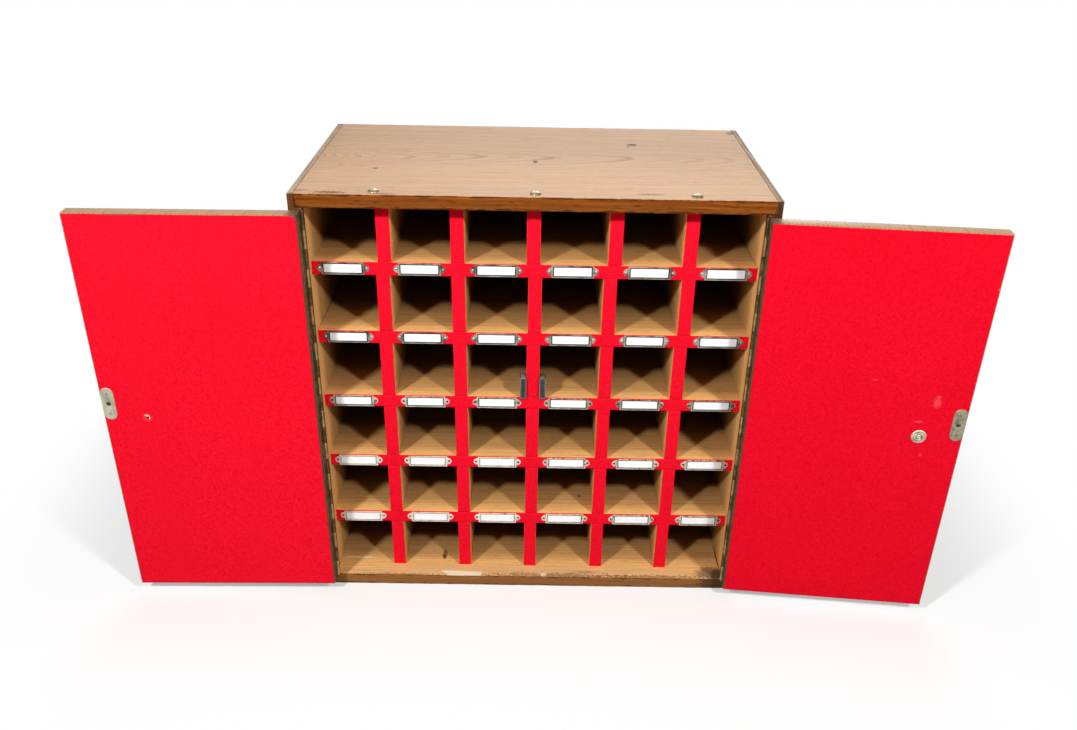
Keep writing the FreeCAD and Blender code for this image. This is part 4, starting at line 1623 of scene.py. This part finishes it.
@dataclass
class Hinge:
    """One continuous hinge: two leaves with alternate knuckles on a long pin."""

    side: Side
    sizes: CabinetSizes = SIZES
    leaf: float = 0.0011
    gap: float = 0.0008
    width: float = 0.015
    radius: float = 0.00265
    knuckles: int = 22
    knuckle_gap: float = 0.0004
    knuckle_chamfer: float = 0.0006
    notch_play: float = 0.0003
    tongue_lap: float = 0.0004
    screws: int = 5
    screw_end: float = 0.036
    screw_line: float = 0.0095

    def leaf_shape(self, first: int) -> Shape:
        """A leaf folded shut against the left side's face, with every second knuckle.

        Args:
            first: Which knuckle it starts with.

        Returns:
            The leaf with its axis at the origin, with a painted highlight on the front of its knuckles.
        """
        length, r, soft = self.sizes.door_height, self.radius, self.knuckle_chamfer
        pitch = length / self.knuckles
        tall = pitch - self.knuckle_gap
        back, face = -self.gap / 2 - self.leaf, -self.gap / 2
        notch = r + self.notch_play
        shape = Shape().block(Vector((back, notch, 0)), Vector((face, self.width, length)))
        shape.round_edges(0.0002, 1)
        barrel = Shape().lathe([
            (0.0, 0.0), (r - soft, 0.0), (r, soft), (r, tall - soft), (r - soft, tall), (0.0, tall),
        ], 16)
        tongue = Shape().block(Vector((back, 0.0, 0.0)), Vector((face, notch + self.tongue_lap, tall)))
        for i in range(first, self.knuckles, 2):
            foot = Matrix.Translation((0, 0, i * pitch + self.knuckle_gap / 2))
            shape.add(barrel, foot).add(tongue, foot)
        # The knuckles' fronts, towards -Y, are marked rubbed: a painted highlight on the side the light
        # falls on
        return shape.rub_and_highlight(lambda p: 0.55 if p.y < -0.6 * r else 0.0)

    def screw_heads(self, towards: int) -> Shape:
        """The countersunk heads in one leaf, flush with its face.

        Args:
            towards: -1 for heads that face the cabinet's middle from the side, 1 for the door's.

        Returns:
            The heads with the hinge's axis at the origin.
        """
        head = Shape().lathe([
            (0.0, 0.00012), (0.0021, 0.00010), (0.0024, 0.0),
            (0.0011, -0.0013), (0.0011, -0.008), (0.0, -0.008),
        ], 14).slot(0.0006, 0.0005)
        span = self.sizes.door_height - 2 * self.screw_end
        heads = Shape()
        for i in range(self.screws):
            z = self.screw_end + span * i / (self.screws - 1)
            place = Vector((towards * self.gap / 2, self.screw_line, z))
            turn = Matrix.Rotation(0.7 * i + 0.3, 4, "Z")
            heads.add(head, heading(place, Vector((-towards, 0, 0))) @ turn)
        return heads

    def build(self, metal: Material, dark: Material) -> None:
        """Make and dress the hinge.

        Args:
            metal: The finish of the leaf on the side.
            dark: The finish of the leaf on the door.
        """
        s, word = self.sizes, self.side.word
        door = word + "_door"
        foot = Matrix.Translation((-s.axis_x, s.axis_y, s.door_bottom))
        fixed, swung = s.flip(self.side) @ foot, s.opened(self.side) @ foot
        mirror = s.flip(Side.RIGHT)
        leaf = self.leaf_shape(0).move(fixed).piece(word + "_frame_leaf_rolled", metal)
        settle(leaf, "cabinet", "hinge_brass", word + "_hinge_frame_leaf", word + "_hinge_pin")
        leaf = self.leaf_shape(1).move(swung @ mirror).piece(word + "_door_leaf_rolled", dark)
        settle(leaf, door, "hinge_brass", word + "_hinge_door_leaf")
        heads = self.screw_heads(-1).move(fixed).piece(word + "_frame_screw_heads", metal)
        settle(heads, "cabinet", "hinge_brass", "hinge_frame_screws")
        heads = self.screw_heads(1).move(swung).piece(word + "_door_screw_heads", dark)
        settle(heads, door, "hinge_brass", word + "_hinge_door_screws")


@dataclass
class Door:
    """One door with its lining, strike plate, knob and screws."""

    side: Side
    sizes: CabinetSizes = SIZES
    hinge_edge: float = -0.286
    free_edge: float = -0.0015
    round_over: float = 0.0009
    margin: float = 0.0012
    ragged: float = 0.0005
    torn_corner: float = 0.0075
    torn_hole: float = 0.0021
    hole_radius: float = 0.0035
    hole_depth: float = 0.0030
    strike_width: float = 0.017
    strike_height: float = 0.048
    strike_thick: float = 0.0012
    strike_soft: float = 0.00035
    strike_edge: float = 0.010
    strike_z: float = 0.326
    knob_edge: float = 0.057
    knob_z: float = 0.305

    @property
    def body(self) -> str:
        """The body that the door's pieces move with."""
        return self.side.word + "_door"

    @property
    def lining_face(self) -> float:
        """The face of the lining when the door is closed."""
        return self.sizes.door_face + self.sizes.felt

    def at_rest(self, x: float, y: float, z: float) -> tuple[float, float, float]:
        """Where a point of the closed left-hand door is when this door stands open."""
        return tuple(self.sizes.opened(self.side) @ Vector((x, y, z)))

    def knob_place(self, y: float) -> Vector:
        """A point on the line through the knob and its screw, on the closed left-hand door."""
        return Vector((self.free_edge - self.knob_edge, y, self.knob_z))

    def build(self, baize: Material) -> None:
        """Make and dress the door.

        Args:
            baize: The lining's finish.
        """
        self.build_panel()
        self.build_lining(baize)
        self.build_strike()
        self.build_knob()
        if self.side is Side.RIGHT:
            self.build_washer()

    def build_panel(self) -> None:
        """The board, with an open hole round the screw in the left-hand door."""
        s, word = self.sizes, self.side.word
        along_hinge = self.at_rest(self.hinge_edge, s.door_face, s.height / 2)
        corner = self.at_rest(self.hinge_edge, s.door_face, s.door_top)
        # A dark band painted along the hinge edge, and painted shadow at the top corner beside the hinge
        marks = (
            Mark(along_hinge, (0.0040, 0.0060, 2.0), (0.060, 0.040, 0.022), 0.9, 0.3),
            Mark(corner, (0.016, 0.03, 0.010), (0.08, 0.04, 0.025), 0.8, 0.5),
        )
        wood = WoodFinish(
            word + "_door_varnish", Grain.UPRIGHT_FRONT,
            (0.44, 0.270, 0.135), (0.30, 0.165, 0.075), (0.40, 0.30, 0.21),
            ring_gap=0.006, wear=0.6, roughness=0.42, marks=marks,
        ).make()
        outer = WoodFinish(
            word + "_door_face_varnish", Grain.UPRIGHT_FRONT,
            (0.34, 0.150, 0.052), (0.20, 0.078, 0.026), (0.17, 0.075, 0.030),
            ring_gap=0.0095, pith_depth=0.030, pith_across=0.035, tilt=0.05, sway=0.030, figure=0.75,
            wear=0.5, roughness=0.4, coat=0.2, pore=0.5, specular=0.2, contrast=1.0,
        ).make()
        low = Vector((self.hinge_edge, s.front, s.door_bottom))
        high = Vector((self.free_edge, s.door_face, s.door_top))
        panel = board(low, high, 90 + self.side.value, self.round_over).paint_front(1)
        if self.side is Side.LEFT:
            panel.bore(self.knob_place(s.door_face), self.hole_radius, self.hole_depth)
        panel.move(s.opened(self.side))
        settle(panel.piece(word + "_door_board", wood, outer), self.body, "door_wood", word + "_door_panel")

    def build_lining(self, baize: Material) -> None:
        """The cloth inside, with a torn hole and a rounded corner on the left-hand door.

        Args:
            baize: The cloth's finish.
        """
        s, m, word = self.sizes, self.margin, self.side.word
        left = Vector((self.hinge_edge + m, s.door_face, s.door_bottom + m))
        right = Vector((self.free_edge - m, s.door_face, s.door_top - m))
        hole, corner = None, 0.0
        if self.side is Side.LEFT:
            hole = (self.knob_place(s.door_face) + Vector((-0.0006, 0, -0.0006)), self.torn_hole)
            corner = self.torn_corner
        lining = cloth(left, right, s.felt, (64, 128), self.ragged, 200 + self.side.value, hole, corner)
        lining.move(Matrix.Translation((0, 2 * s.door_face, 0)) @ Matrix.Diagonal((1, -1, 1, 1)))
        lining.move(s.opened(self.side))
        thing = lining.piece(word + "_door_lining", baize, smooth_angle=60.0)
        settle(thing, self.body, "red_baize", word + "_door_baize")

    def strike_plate(self) -> Shape:
        """The round-ended plate with its countersunk hole, flat on its back.

        Returns:
            The plate with its middle at the origin.
        """
        r, t, soft, facets = self.strike_width / 2, self.strike_thick, self.strike_soft, 40
        straight = (self.strike_height - self.strike_width) / 2
        turn = Matrix.Rotation(math.pi / facets, 4, "Z")
        plate = Shape()
        loops = []
        for radius, stretch, height in (
            (r, straight, 0.0), (r, straight, t - soft), (r - soft, straight, t),
            (0.0038, 0.0, t), (0.0018, 0.0, t - 0.0014),
        ):
            made = bmesh.ops.create_circle(
                plate.mesh, cap_ends=False, radius=radius, segments=facets, matrix=turn,
            )
            for vert in made["verts"]:
                vert.co.y += math.copysign(stretch, vert.co.y)
                vert.co.z = height
            loops.append(list({e for v in made["verts"] for e in v.link_edges}))
        for lower, upper in zip(loops, loops[1:]):
            bmesh.ops.bridge_loops(plate.mesh, edges=lower + upper)
        plate.outwards()
        return plate.rub_and_highlight(lambda p: abs(p.x) > r * 0.9 or abs(p.y) > straight + r * 0.6)

    def build_strike(self) -> None:
        """The plate that meets the catch, and its screw."""
        word, t = self.side.word, self.strike_thick
        place = Vector((self.free_edge - self.strike_edge, self.lining_face, self.strike_z))
        upright = Matrix.Rotation(-math.pi / 2, 4, "X")
        stand = self.sizes.opened(self.side) @ Matrix.Translation(place) @ upright
        pale = self.side is Side.LEFT
        bright = (0.52, 0.49, 0.38) if pale else (0.36, 0.33, 0.23)
        dull = (0.34, 0.325, 0.235) if pale else (0.165, 0.150, 0.095)
        # Two dark spots painted where the plate is dimpled: painted shade, since the mesh has no dimples
        shadow, dent = tuple(0.45 * c for c in dull), (0.0022, 0.0022, 0.0022)
        painted_dent_shade = tuple(
            Mark(self.at_rest(place.x, place.y + t, place.z + dz), dent, shadow, 0.6, 0.2)
            for dz in (-0.0150, 0.0150)
        )
        metal = MetalFinish(
            word + "_strike_nickel", bright, dull, (0.06, 0.05, 0.03), metallic=0.75,
            roughness=0.45, tarnish_share=0.95, speck_share=0.4, cloud_scale=90.0, marks=painted_dent_shade,
        ).make()
        plate = self.strike_plate().move(stand).piece(word + "_strike_pressed", metal)
        settle(plate, self.body, "strike_metal", word + "_strike_plate")
        screw = Shape().lathe([
            (0.0, -0.0005), (0.0026, -0.0005), (0.0032, -0.0004),
            (0.0015, -0.0016), (0.0015, -0.010), (0.0, -0.010),
        ], 20)
        screw.slot(0.0007, 0.0006).move(Matrix.Rotation(0.6, 4, "Z"))
        screw.move(stand @ Matrix.Translation((0, 0, t)))
        steel = MetalFinish(
            word + "_strike_screw_steel", (0.20, 0.16, 0.10), (0.03, 0.022, 0.015), (0.03, 0.02, 0.015),
            roughness=0.4, tarnish_share=0.9, cloud_scale=300.0,
        ).make()
        head = screw.piece(word + "_strike_screw_head", steel)
        settle(head, self.body, "screw_metal", word + "_strike_screw")

    def build_knob(self) -> None:
        """The turned knob outside and its screw inside."""
        s, word = self.sizes, self.side.word
        opened = s.opened(self.side)
        knob = Shape().lathe([
            (0.0, 0.0), (0.0097, 0.0), (0.0100, 0.0005), (0.0100, 0.0034), (0.0094, 0.0042),
            (0.0078, 0.0056), (0.0070, 0.0076), (0.0070, 0.0100), (0.0082, 0.0118), (0.0115, 0.0135),
            (0.0140, 0.0160), (0.0150, 0.0185), (0.0146, 0.0208), (0.0128, 0.0229), (0.0095, 0.0243),
            (0.0045, 0.0249), (0.0, 0.0250),
        ], 48).shift_grain(7 + self.side.value)
        knob.move(opened @ heading(self.knob_place(s.front), Vector((0, -1, 0))))
        wood = WoodFinish(
            word + "_knob_varnish", Grain.UPRIGHT_FRONT,
            (0.30, 0.130, 0.046), (0.18, 0.070, 0.024), (0.22, 0.11, 0.05),
            ring_gap=0.004, roughness=0.32, coat=0.4,
        ).make()
        settle(knob.piece(word + "_knob_turned", wood), self.body, "knob_wood", word + "_knob")
        brass = MetalFinish(
            word + "_knob_screw_brass", (0.80, 0.72, 0.50), (0.42, 0.32, 0.17), (0.07, 0.05, 0.02),
            roughness=0.25, tarnish_share=0.5, cloud_scale=300.0,
        ).make()
        screw = Shape().lathe([
            (0.0, 0.0003), (0.0014, 0.0002), (0.0024, -0.0001), (0.0030, -0.0006),
            (0.0020, -0.0015), (0.0020, -0.012), (0.0, -0.012),
        ], 24)
        screw.slot(0.0008, 0.0008).move(Matrix.Rotation(0.9, 4, "Z"))
        seat = -0.004 if self.side is Side.LEFT else 0.0016
        screw.move(opened @ heading(self.knob_place(self.lining_face + seat), Vector((0, 1, 0))))
        settle(screw.piece(word + "_knob_screw_head", brass), self.body, "screw_metal", word + "_knob_screw")

    def build_washer(self) -> None:
        """The cup washer under the screw of the right-hand door."""
        cup = Shape().lathe([
            (0.0100, 0.0), (0.0100, 0.0006), (0.0094, 0.0013), (0.0086, 0.0016), (0.0078, 0.0013),
            (0.0068, 0.0011), (0.0060, 0.0015), (0.0052, 0.0019), (0.0045, 0.0018), (0.0040, 0.0011),
            (0.0026, 0.0003), (0.0026, 0.0), (0.0100, 0.0),
        ], 40)

        def on_ridge(point: Vector) -> bool:
            """Whether a point is on the rim or on the inner ridge."""
            out = math.hypot(point.x, point.y)
            return out > 0.0084 or 0.0045 < out < 0.0056

        seat = heading(self.knob_place(self.lining_face), Vector((0, 1, 0)))
        cup.rub_and_highlight(on_ridge).move(self.sizes.opened(self.side) @ seat)
        nickel = MetalFinish(
            "knob_washer_nickel", (0.58, 0.53, 0.41), (0.17, 0.158, 0.10), (0.04, 0.03, 0.02),
            metallic=0.8, roughness=0.4, tarnish_share=1.0, cloud_scale=60.0,
        ).make()
        settle(cup.piece("right_knob_washer_dished", nickel), self.body, "cup_metal", "right_knob_washer")


@dataclass
class Catches:
    """The two magnetic catches beside the middle divider of the third row."""

    wall: float = 0.0012
    depth: float = 0.016
    tab_half: float = 0.008
    tab_lap: float = 0.001
    soft: float = 0.0003
    rubbed: float = 0.0008

    def case(self, side: Side) -> Shape:
        """One case: four walls and a back, open in front, with the tab that holds it.

        Args:
            side: Which side of the divider it is on.

        Returns:
            The case.
        """
        low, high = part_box(side.word + "_catch_case")
        near = high.x if side is Side.LEFT else low.x
        inner = near + side.value * self.wall
        rear, middle = low.y + self.depth, (low.z + high.z) / 2
        tab_low = (min(near, inner), rear - self.tab_lap, middle - self.tab_half)
        tab_high = (max(near, inner), high.y, middle + self.tab_half)
        shape = Shape()
        for start, end in (
            ((low.x, low.y, low.z), (low.x + self.wall, rear, high.z)),
            ((high.x - self.wall, low.y, low.z), (high.x, rear, high.z)),
            ((low.x, low.y, high.z - self.wall), (high.x, rear, high.z)),
            ((low.x, low.y, low.z), (high.x, rear, low.z + self.wall)),
            ((low.x, rear - self.wall, low.z), (high.x, rear, high.z)),
            (tab_low, tab_high),
        ):
            shape.add(Shape().block(Vector(start), Vector(end)).round_edges(self.soft))
        return shape.rub_and_highlight(lambda p: p.y < low.y + self.rubbed)

    def build(self) -> None:
        """Make and dress the cases, and dress the steel and the magnets inside them."""
        slate = MetalFinish(
            "catch_case_steel", (0.24, 0.24, 0.22), (0.032, 0.035, 0.034), (0.02, 0.018, 0.015),
            metallic=0.3, roughness=0.4, tarnish_share=1.0, cloud_scale=40.0,
        ).make()
        steel = MetalFinish(
            "catch_pole_steel", (0.075, 0.08, 0.075), (0.040, 0.042, 0.040), (0.02, 0.016, 0.012),
            metallic=0.3, roughness=0.4, tarnish_share=0.9,
        ).make()
        ferrite = PlainFinish("catch_ferrite", (0.030, 0.030, 0.032), (0.055, 0.055, 0.055), 0.6).make()
        for side in Side:
            name = side.word + "_catch_case"
            settle(self.case(side).piece(name + "_moulded", slate), "cabinet", "catch_plastic", name)
        for name in ("catch_pole_plates", "catch_screws"):
            dress(name, steel)
        dress("catch_magnets", ferrite)


@dataclass
class TopScrews:
    """The round-headed screws in cup washers along the front of the top."""

    sizes: CabinetSizes = SIZES
    spread: float = 0.200
    from_front: float = 0.013
    seat: float = 0.0024

    def build(self) -> None:
        """Make and dress the screws and their cups."""
        s = self.sizes
        silver = MetalFinish(
            "top_screw_nickel", (0.70, 0.62, 0.44), (0.26, 0.205, 0.115), (0.08, 0.06, 0.03),
            roughness=0.18, tarnish_share=0.5, cloud_scale=220.0,
        ).make()
        nickel = MetalFinish(
            "top_cup_nickel", (0.27, 0.215, 0.110), (0.075, 0.056, 0.026), (0.05, 0.035, 0.02),
            roughness=0.3, tarnish_share=0.8, cloud_scale=180.0,
        ).make()
        cup = Shape().lathe([
            (0.0070, 0.0), (0.0069, 0.0005), (0.0064, 0.0013), (0.0057, 0.0020), (0.0050, 0.0024),
            (0.0045, 0.0024), (0.0041, 0.0021), (0.0020, 0.0006), (0.0020, 0.0), (0.0070, 0.0),
        ], 36)
        screw = Shape().lathe([
            (0.0, 0.0014), (0.0011, 0.0013), (0.0022, 0.00105), (0.0032, 0.0006), (0.0039, 0.0002),
            (0.0042, 0.0), (0.0019, -0.0018), (0.0019, -0.0140), (0.0, -0.0140),
        ], 28).slot(0.0008, 0.0008)
        screws, cups = Shape(), Shape()
        for i, turn in ((-1, 0.4), (0, 1.3), (1, 2.3)):
            place = Vector((i * self.spread, s.front + self.from_front, s.height))
            cups.add(cup, Matrix.Translation(place))
            seated = Matrix.Translation(place + Vector((0, 0, self.seat)))
            screws.add(screw, seated @ Matrix.Rotation(turn, 4, "Z"))
        settle(cups.piece("top_screw_cups_dished", nickel), "cabinet", "cup_metal", "top_screw_cups")
        settle(screws.piece("top_screws_domed", silver), "cabinet", "screw_metal", "top_screws")


# The room


@dataclass(frozen=True)
class Lamp:
    """A square lamp."""

    name: str
    place: tuple[float, float, float]
    power: float
    size: float

    def build(self, aim: Vector) -> None:
        """Hang the lamp and point it at a place.

        Args:
            aim: The place that it lights.
        """
        data = bpy.data.lights.new(self.name, "AREA")
        data.energy = self.power
        data.size = self.size
        lamp = bpy.data.objects.new(self.name, data)
        lamp.location = self.place
        lamp.rotation_euler = (aim - Vector(self.place)).to_track_quat("-Z", "Y").to_euler()
        bpy.context.scene.collection.objects.link(lamp)


@dataclass
class Studio:
    """The floor, the light and the camera."""

    focal: float = 32.49
    camera_place: tuple[float, float, float] = (0.0023, -1.3163, 0.9850)
    camera_turn: tuple[float, float, float] = (27.91, 0.907, 0.217)
    floor_size: float = 8.0
    shade_half: tuple[float, float] = (0.58, 0.21)
    shade_reach: float = 0.32
    sky_light: float = 0.06
    aim: tuple[float, float, float] = (0.0, -0.10, 0.32)
    lamps: tuple[Lamp, ...] = (
        Lamp("left_lamp", (-0.96, -1.45, 1.60), 30.5, 0.16),
        Lamp("right_lamp", (0.96, -1.45, 1.60), 26.5, 0.16),
        Lamp("upper_lamp", (0.0, -0.35, 2.70), 3.5, 1.4),
        Lamp("rear_lamp", (0.3, 2.30, 1.30), 30.0, 1.8),
    )

    def build(self) -> None:
        """Set up the room."""
        self.build_floor()
        self.build_world()
        for lamp in self.lamps:
            lamp.build(Vector(self.aim))
        self.build_camera()
        bpy.context.scene.view_settings.view_transform = "Standard"

    @staticmethod
    def seen_directly(nodes: bpy.types.Nodes, links: bpy.types.NodeLinks) -> NodeSocket:
        """Where the camera, a mirror or a glass sees the surface.

        Args:
            nodes: The shader's nodes.
            links: Their links.

        Returns:
            1 for such rays and 0 for the light that falls on the object.
        """
        path = nodes.new("ShaderNodeLightPath")
        total = path.outputs["Is Camera Ray"]
        for name in ("Is Glossy Ray", "Is Transmission Ray"):
            step = nodes.new("ShaderNodeMath")
            step.operation = "MAXIMUM"
            links.new(total, step.inputs[0])
            links.new(path.outputs[name], step.inputs[1])
            total = step.outputs[0]
        return total

    def build_floor(self) -> None:
        """A wide white floor that keeps soft shadows near the cabinet."""
        mesh = bmesh.new()
        bmesh.ops.create_grid(mesh, x_segments=1, y_segments=1, size=self.floor_size)
        data = bpy.data.meshes.new("floor")
        mesh.to_mesh(data)
        mesh.free()
        floor = bpy.data.objects.new("floor", data)
        bpy.context.scene.collection.objects.link(floor)
        brush = Painter("floor_white")
        seen = Field(brush, self.seen_directly(brush.nodes, brush.links))
        white = brush.mix(seen, (0.50, 0.50, 0.50), (0.95, 0.95, 0.95))
        brush.finish(Base_Color=white, Roughness=0.9, Specular_IOR_Level=0.0)
        parts = brush.split(brush.place())
        beyond = [
            brush.math("MAXIMUM", brush.math("ABSOLUTE", parts[letter]) - half, 0.0)
            for letter, half in zip("XY", self.shade_half)
        ]
        beside, before = (brush.math("POWER", distance, 2.0) for distance in beyond)
        away = brush.math("SQRT", beside + before)
        glow = brush.nodes.new("ShaderNodeEmission")
        blend = brush.nodes.new("ShaderNodeMixShader")
        brush.feed(blend.inputs[0], seen * brush.span(away, 0.0, self.shade_reach, 0.30, 1.0))
        brush.links.new(brush.surface.outputs[0], blend.inputs[1])
        brush.links.new(glow.outputs[0], blend.inputs[2])
        brush.links.new(blend.outputs[0], brush.nodes["Material Output"].inputs["Surface"])
        data.materials.append(brush.material)

    def build_world(self) -> None:
        """A white surround that adds only a little light of its own."""
        world = bpy.data.worlds.new("white_room")
        world.use_nodes = True
        bpy.context.scene.world = world
        nodes, links = world.node_tree.nodes, world.node_tree.links
        sky = nodes["Background"]
        sky.inputs["Color"].default_value = (1.0, 1.0, 1.0, 1.0)
        level = nodes.new("ShaderNodeMapRange")
        level.inputs["To Min"].default_value = self.sky_light
        level.inputs["To Max"].default_value = 1.0
        links.new(self.seen_directly(nodes, links), level.inputs["Value"])
        links.new(level.outputs[0], sky.inputs["Strength"])

    def build_camera(self) -> None:
        """The camera at the photograph's place, looking down a little."""
        data = bpy.data.cameras.new("view")
        data.sensor_fit = "HORIZONTAL"
        data.sensor_width = 36.0
        data.lens = self.focal
        camera = bpy.data.objects.new("view", data)
        right, ahead, up = Euler([math.radians(a) for a in self.camera_turn], "XYZ").to_matrix()
        rows = [(right[i], up[i], -ahead[i], self.camera_place[i]) for i in range(3)]
        camera.matrix_world = Matrix((*rows, (0.0, 0.0, 0.0, 1.0)))
        bpy.context.scene.collection.objects.link(camera)
        bpy.context.scene.camera = camera


def baize_marks(side: Side) -> tuple[Mark, ...]:
    """The scuffs and the tear on a door's lining.

    Args:
        side: Which door.

    Returns:
        The marks, in the order that they are laid on.
    """
    pink, cream = (0.92, 0.13, 0.14), (0.88, 0.74, 0.52)
    if side is Side.LEFT:
        x, y, z = SIZES.opened(side) @ Vector((-0.0585, -0.152, 0.305))
        edge = SIZES.opened(side) @ Vector((-0.075, -0.152, 0.5895))
        return (
            Mark(tuple(edge), (0.032, 0.006, 0.0014), (0.16, 0.04, 0.035), 0.7, 0.9),
            Mark((x, y, z), (0.0085, 0.006, 0.0085), (0.92, 0.05, 0.06), 0.4, 0.5),
            Mark((x + 0.0002, y, z + 0.0028), (0.0036, 0.006, 0.0015), cream, 1.0, 0.3),
            Mark((x + 0.0027, y, z), (0.0015, 0.006, 0.0036), cream, 1.0, 0.3),
        )
    return (
        Mark((0.527, -0.2192, 0.357), (0.0055, 0.006, 0.0085), pink, 0.42, 1.0),
        Mark((0.5276, -0.2192, 0.366), (0.004, 0.006, 0.003), pink, 0.35, 0.9),
        Mark((0.5085, -0.2174, 0.327), (0.0075, 0.006, 0.0018), pink, 0.35, 0.8),
        Mark((0.568, -0.2232, 0.5197), (0.0022, 0.006, 0.0022), pink, 0.5, 0.5),
        Mark((0.443, -0.2111, 0.3855), (0.0045, 0.006, 0.0012), pink, 0.4, 0.6),
        Mark((0.521, -0.2186, 0.2762), (0.0025, 0.006, 0.0030), pink, 0.3, 0.8),
    )


def main() -> None:
    """Build every sub-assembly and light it."""
    logging.basicConfig(level=logging.INFO, format="%(name)s: %(message)s")
    noise.seed_set(SEED)
    red, deep = (0.96, 0.0080, 0.029), (0.72, 0.0012, 0.012)
    # The right door's lining is a darker copy of the same red: painted shade for the weaker light on that
    # door
    lining_tones_right_shaded = {Side.LEFT: (red, deep), Side.RIGHT: ((0.88, 0.0045, 0.024), (0.66, 0.0007, 0.010))}
    strip_baize = BaizeFinish("strip_baize", red, deep).make()
    brass = MetalFinish(
        "hinge_brass_dull", (0.42, 0.305, 0.140), (0.165, 0.112, 0.048), (0.02, 0.016, 0.01),
        roughness=0.36, tarnish_share=0.9, cloud_scale=90.0,
    ).make()
    bronze = MetalFinish(
        "hinge_bronze_dark", (0.190, 0.128, 0.056), (0.070, 0.045, 0.020), (0.012, 0.010, 0.007),
        roughness=0.4, tarnish_share=0.95, cloud_scale=90.0,
    ).make()
    Case().build()
    Grid().build(strip_baize)
    Labels().build()
    for side in Side:
        Hinge(side).build(brass, bronze)
        Door(side).build(BaizeFinish(side.word + "_lining_baize", *lining_tones_right_shaded[side], baize_marks(side)).make())
    Catches().build()
    TopScrews().build()
    Studio().build()


if __name__ == "__main__":
    main()
